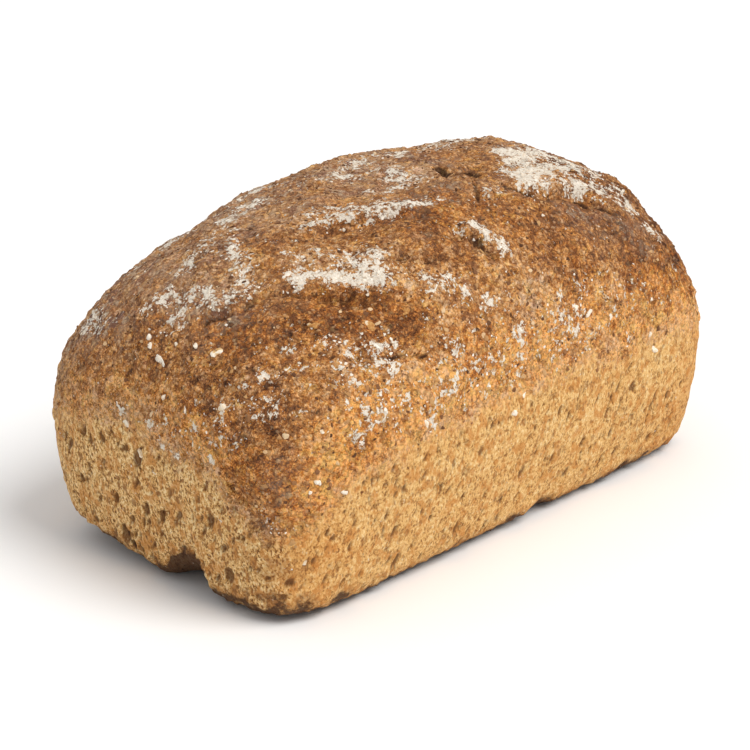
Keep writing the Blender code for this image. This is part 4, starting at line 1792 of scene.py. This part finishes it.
@dataclass
class FlakeSet:
    """Flakes fused all round the loaf by the golden turn, and the ones that the photograph shows singly."""

    form: LoafForm = field(default_factory=LoafForm)
    count: int = 70
    longest: float = 8.0
    shortest: float = 4.2
    width: float = 0.45
    thickness: float = 0.32
    sink: float = 0.05
    low_z: float = 30.0
    high_z: float = 92.0
    height_step: float = 0.37
    lightest: float = 0.5
    seed: int = 41
    shown_height: float = 0.9
    shown_sink: float = 0.1
    crag_lumps: float = 0.25
    flake_lumps: float = 0.55
    lump_size: float = 1.9
    fine_lump_size: float = 0.9
    fine_lumps: float = 0.6
    segments: tuple[int, int] = (12, 7)
    shown: tuple[tuple[Face, float, float, float, float, float, float], ...] = (
        (Face.NEAR_END, 0, 72, 9.0, 2.0, 1.4, 0.95),
        (Face.NEAR_END, 6, 77, 2.1, 1.9, 0.3, 0.95),
        (Face.NEAR_END, 5, 75, 1.9, 1.7, 0.9, 0.95),
        (Face.NEAR_END, -4, 77, 1.6, 1.4, 0.2, 0.9),
        (Face.NEAR_END, -12, 78, 1.9, 1.5, 0.5, 0.9),
        (Face.NEAR_END, -16, 62, 2.6, 2.0, 0.7, 0.95),
        (Face.NEAR_END, -20, 78, 4.4, 3.0, 2.2, 0.55),
        (Face.NEAR_END, 9, 51, 2.8, 2.2, 1.2, 0.9),
        (Face.NEAR_END, 4, 43, 4.2, 3.0, 0.5, 0.7),
        (Face.NEAR_END, -30, 66, 2.6, 1.6, 2.0, 0.85),
        (Face.NEAR_END, -6, 63, 2.0, 1.4, 1.1, 0.85),
        (Face.LONG_SIDE, -86, 61, 3.4, 1.6, 1.3, 0.8),
        (Face.LONG_SIDE, -7, 50, 4.4, 2.6, 2.2, 0.98),
        (Face.LONG_SIDE, -11, 46, 2.4, 1.8, 1.0, 0.98),
        (Face.LONG_SIDE, 21, 71, 3.0, 1.8, 0.4, 0.9),
        (Face.LONG_SIDE, 26, 68, 3.2, 2.0, 2.4, 0.9),
        (Face.LONG_SIDE, 37, 64, 2.6, 2.0, 0.6, 0.85),
        (Face.LONG_SIDE, 60, 47, 3.2, 2.2, 1.0, 0.9),
        (Face.LONG_SIDE, 57, 53, 2.6, 1.8, 0.3, 0.85),
        (Face.LONG_SIDE, -50, 54, 3.0, 1.9, 0.7, 0.9),
        (Face.LONG_SIDE, -82, 42, 2.4, 1.5, 0.9, 0.95),
        (Face.LONG_SIDE, -90, 47, 2.2, 1.4, 0.8, 0.95),
        (Face.LONG_SIDE, -92, 44, 1.8, 1.2, 0.5, 0.95),
        (Face.LONG_SIDE, -92, 22, 4.6, 2.2, 2.1, 0.75),
        (Face.TOP, -58, -47, 4.0, 2.6, 0.4, 0.34),
        (Face.TOP, -72, -38, 3.8, 2.4, 1.4, 0.36),
        (Face.TOP, -46, -50, 3.2, 2.0, 2.0, 0.32),
    )

    def all_round(self, rays: BVHTree) -> list[Bit]:
        """The flakes that the solid has too.

        Args:
            rays: The smooth form's surface.

        Returns:
            One bit for each flake, the largest first.
        """
        draw = random.Random(self.seed)
        bits = []
        for number in range(self.count):
            share = (number + 0.5) / self.count
            turn = number * GOLDEN_TURN
            height = self.low_z + (self.high_z - self.low_z) * (turn * self.height_step % 1.0)
            outward = Vector((math.cos(turn), math.sin(turn), 0)) * self.form.length
            spot, normal, _, _ = rays.ray_cast(outward + Vector((0, 0, height)), -outward)
            length = self.longest + (self.shortest - self.longest) * math.sqrt(share)
            sizes = (length, length * self.width, length * self.thickness)
            lie = draw.uniform(0, math.pi)
            bits.append(Bit(spot, normal, *sizes, lie, self.sink * length, draw.random() * self.lightest))
        return bits

    def singly(self, rays: BVHTree) -> list[Bit]:
        """The flakes, kernels and lumps of flour that the photograph shows one by one.

        Args:
            rays: The smooth form's surface.

        Returns:
            One bit for each.
        """
        bits = []
        for face, first, second, length, width, turn, tint in self.shown:
            along, across, axis, sign = face.value
            start, step = Vector((0, 0, 0)), Vector((0, 0, 0))
            start[along], start[across], start[axis] = first, second, sign * self.form.length
            step[axis] = -sign
            spot, normal, _, _ = rays.ray_cast(start, step)
            sizes = (length, width, self.shown_height)
            bits.append(Bit(spot, normal, *sizes, turn, self.shown_sink, tint))
        return bits

    def build(self, shell: SkinMesh, skin: bpy.types.Object) -> list[bpy.types.Object]:
        """Make the flakes.

        Args:
            shell: The skin's form.
            skin: The skin's object, whose marks the fused flakes take on.

        Returns:
            The fused flakes, in the skin's finish, and the ones shown singly, in their own.
        """
        points, faces = shell.surface
        rays = BVHTree.FromPolygons([Vector(point) for point in points], faces)
        crags = self.piece("crust_crags", self.all_round(rays), shell.shift, self.crag_lumps)
        flakes = self.piece("spelt_flakes", self.singly(rays), shell.shift, self.flake_lumps)
        nearest = KDTree(len(skin.data.vertices))
        for number, place in enumerate(read_points(skin.data)):
            nearest.insert(place, number)
        nearest.balance()
        source = [nearest.find(place)[1] for place in read_points(crags.data)]
        for layer in skin.data.attributes:
            if layer.data_type == "FLOAT" and layer.domain == "POINT":
                values = np.empty(len(layer.data), np.float32)
                layer.data.foreach_get("value", values)
                copy = crags.data.attributes.new(layer.name, "FLOAT", "POINT")
                copy.data.foreach_set("value", values[source])
        flakes.data.materials.append(BitPaint("flake_paint", FLAKE_COLOURS, 0.7).make())
        return [crags, flakes]

    def piece(self, name: str, bits: Sequence[Bit], shift: np.ndarray, lumps: float) -> bpy.types.Object:
        """Make some bits as one piece.

        Args:
            name: The piece's name.
            bits: What it is made of.
            shift: Move into the frame, in metres.
            lumps: How uneven the bits are, in millimetres.

        Returns:
            The piece's object.
        """
        noise.seed_set(NOISE_SEED)
        mesh = bmesh.new()
        tints: list[float] = []
        around, upwards = self.segments
        for bit in bits:
            made = bmesh.ops.create_uvsphere(
                mesh, u_segments=around, v_segments=upwards, radius=1.0, matrix=bit.placing()
            )
            for vert in made["verts"]:
                fine = self.fine_lumps * noise.noise_vector(vert.co / self.fine_lump_size)
                vert.co += lumps * (noise.noise_vector(vert.co / self.lump_size) + fine)
            tints += [bit.tint] * len(made["verts"])
        data = bpy.data.meshes.new(name)
        mesh.to_mesh(data)
        mesh.free()
        layer = data.attributes.new("tint", "FLOAT", "POINT")
        layer.data.foreach_set("value", tints)
        write_points(data, read_points(data) * MM + shift)
        data.shade_smooth()
        item = bpy.data.objects.new(name, data)
        bpy.context.scene.collection.objects.link(item)
        return item


def main() -> None:
    """Build the dressed loaf and its studio, and report each piece."""
    logging.basicConfig(level=logging.INFO, format="%(name)s: %(message)s")
    bpy.context.scene.view_settings.view_transform = "Standard"
    studio = Studio()
    studio.camera()
    shell = SkinMesh()
    skin = shell.build()
    bits = [kind.strew(skin) for kind in BITS]
    crags, flakes = FlakeSet().build(shell, skin)
    baked = BakedSkin().make()
    skin.data.materials.append(baked)
    crags.data.materials.append(baked)
    bits += [crags, flakes]
    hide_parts(NODE)
    for piece in (skin, *bits):
        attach(piece, BODY)
        log.info("%s: %d faces", piece.name, len(piece.data.polygons))
    studio.floor()
    studio.lights()


if __name__ == "__main__":
    main()
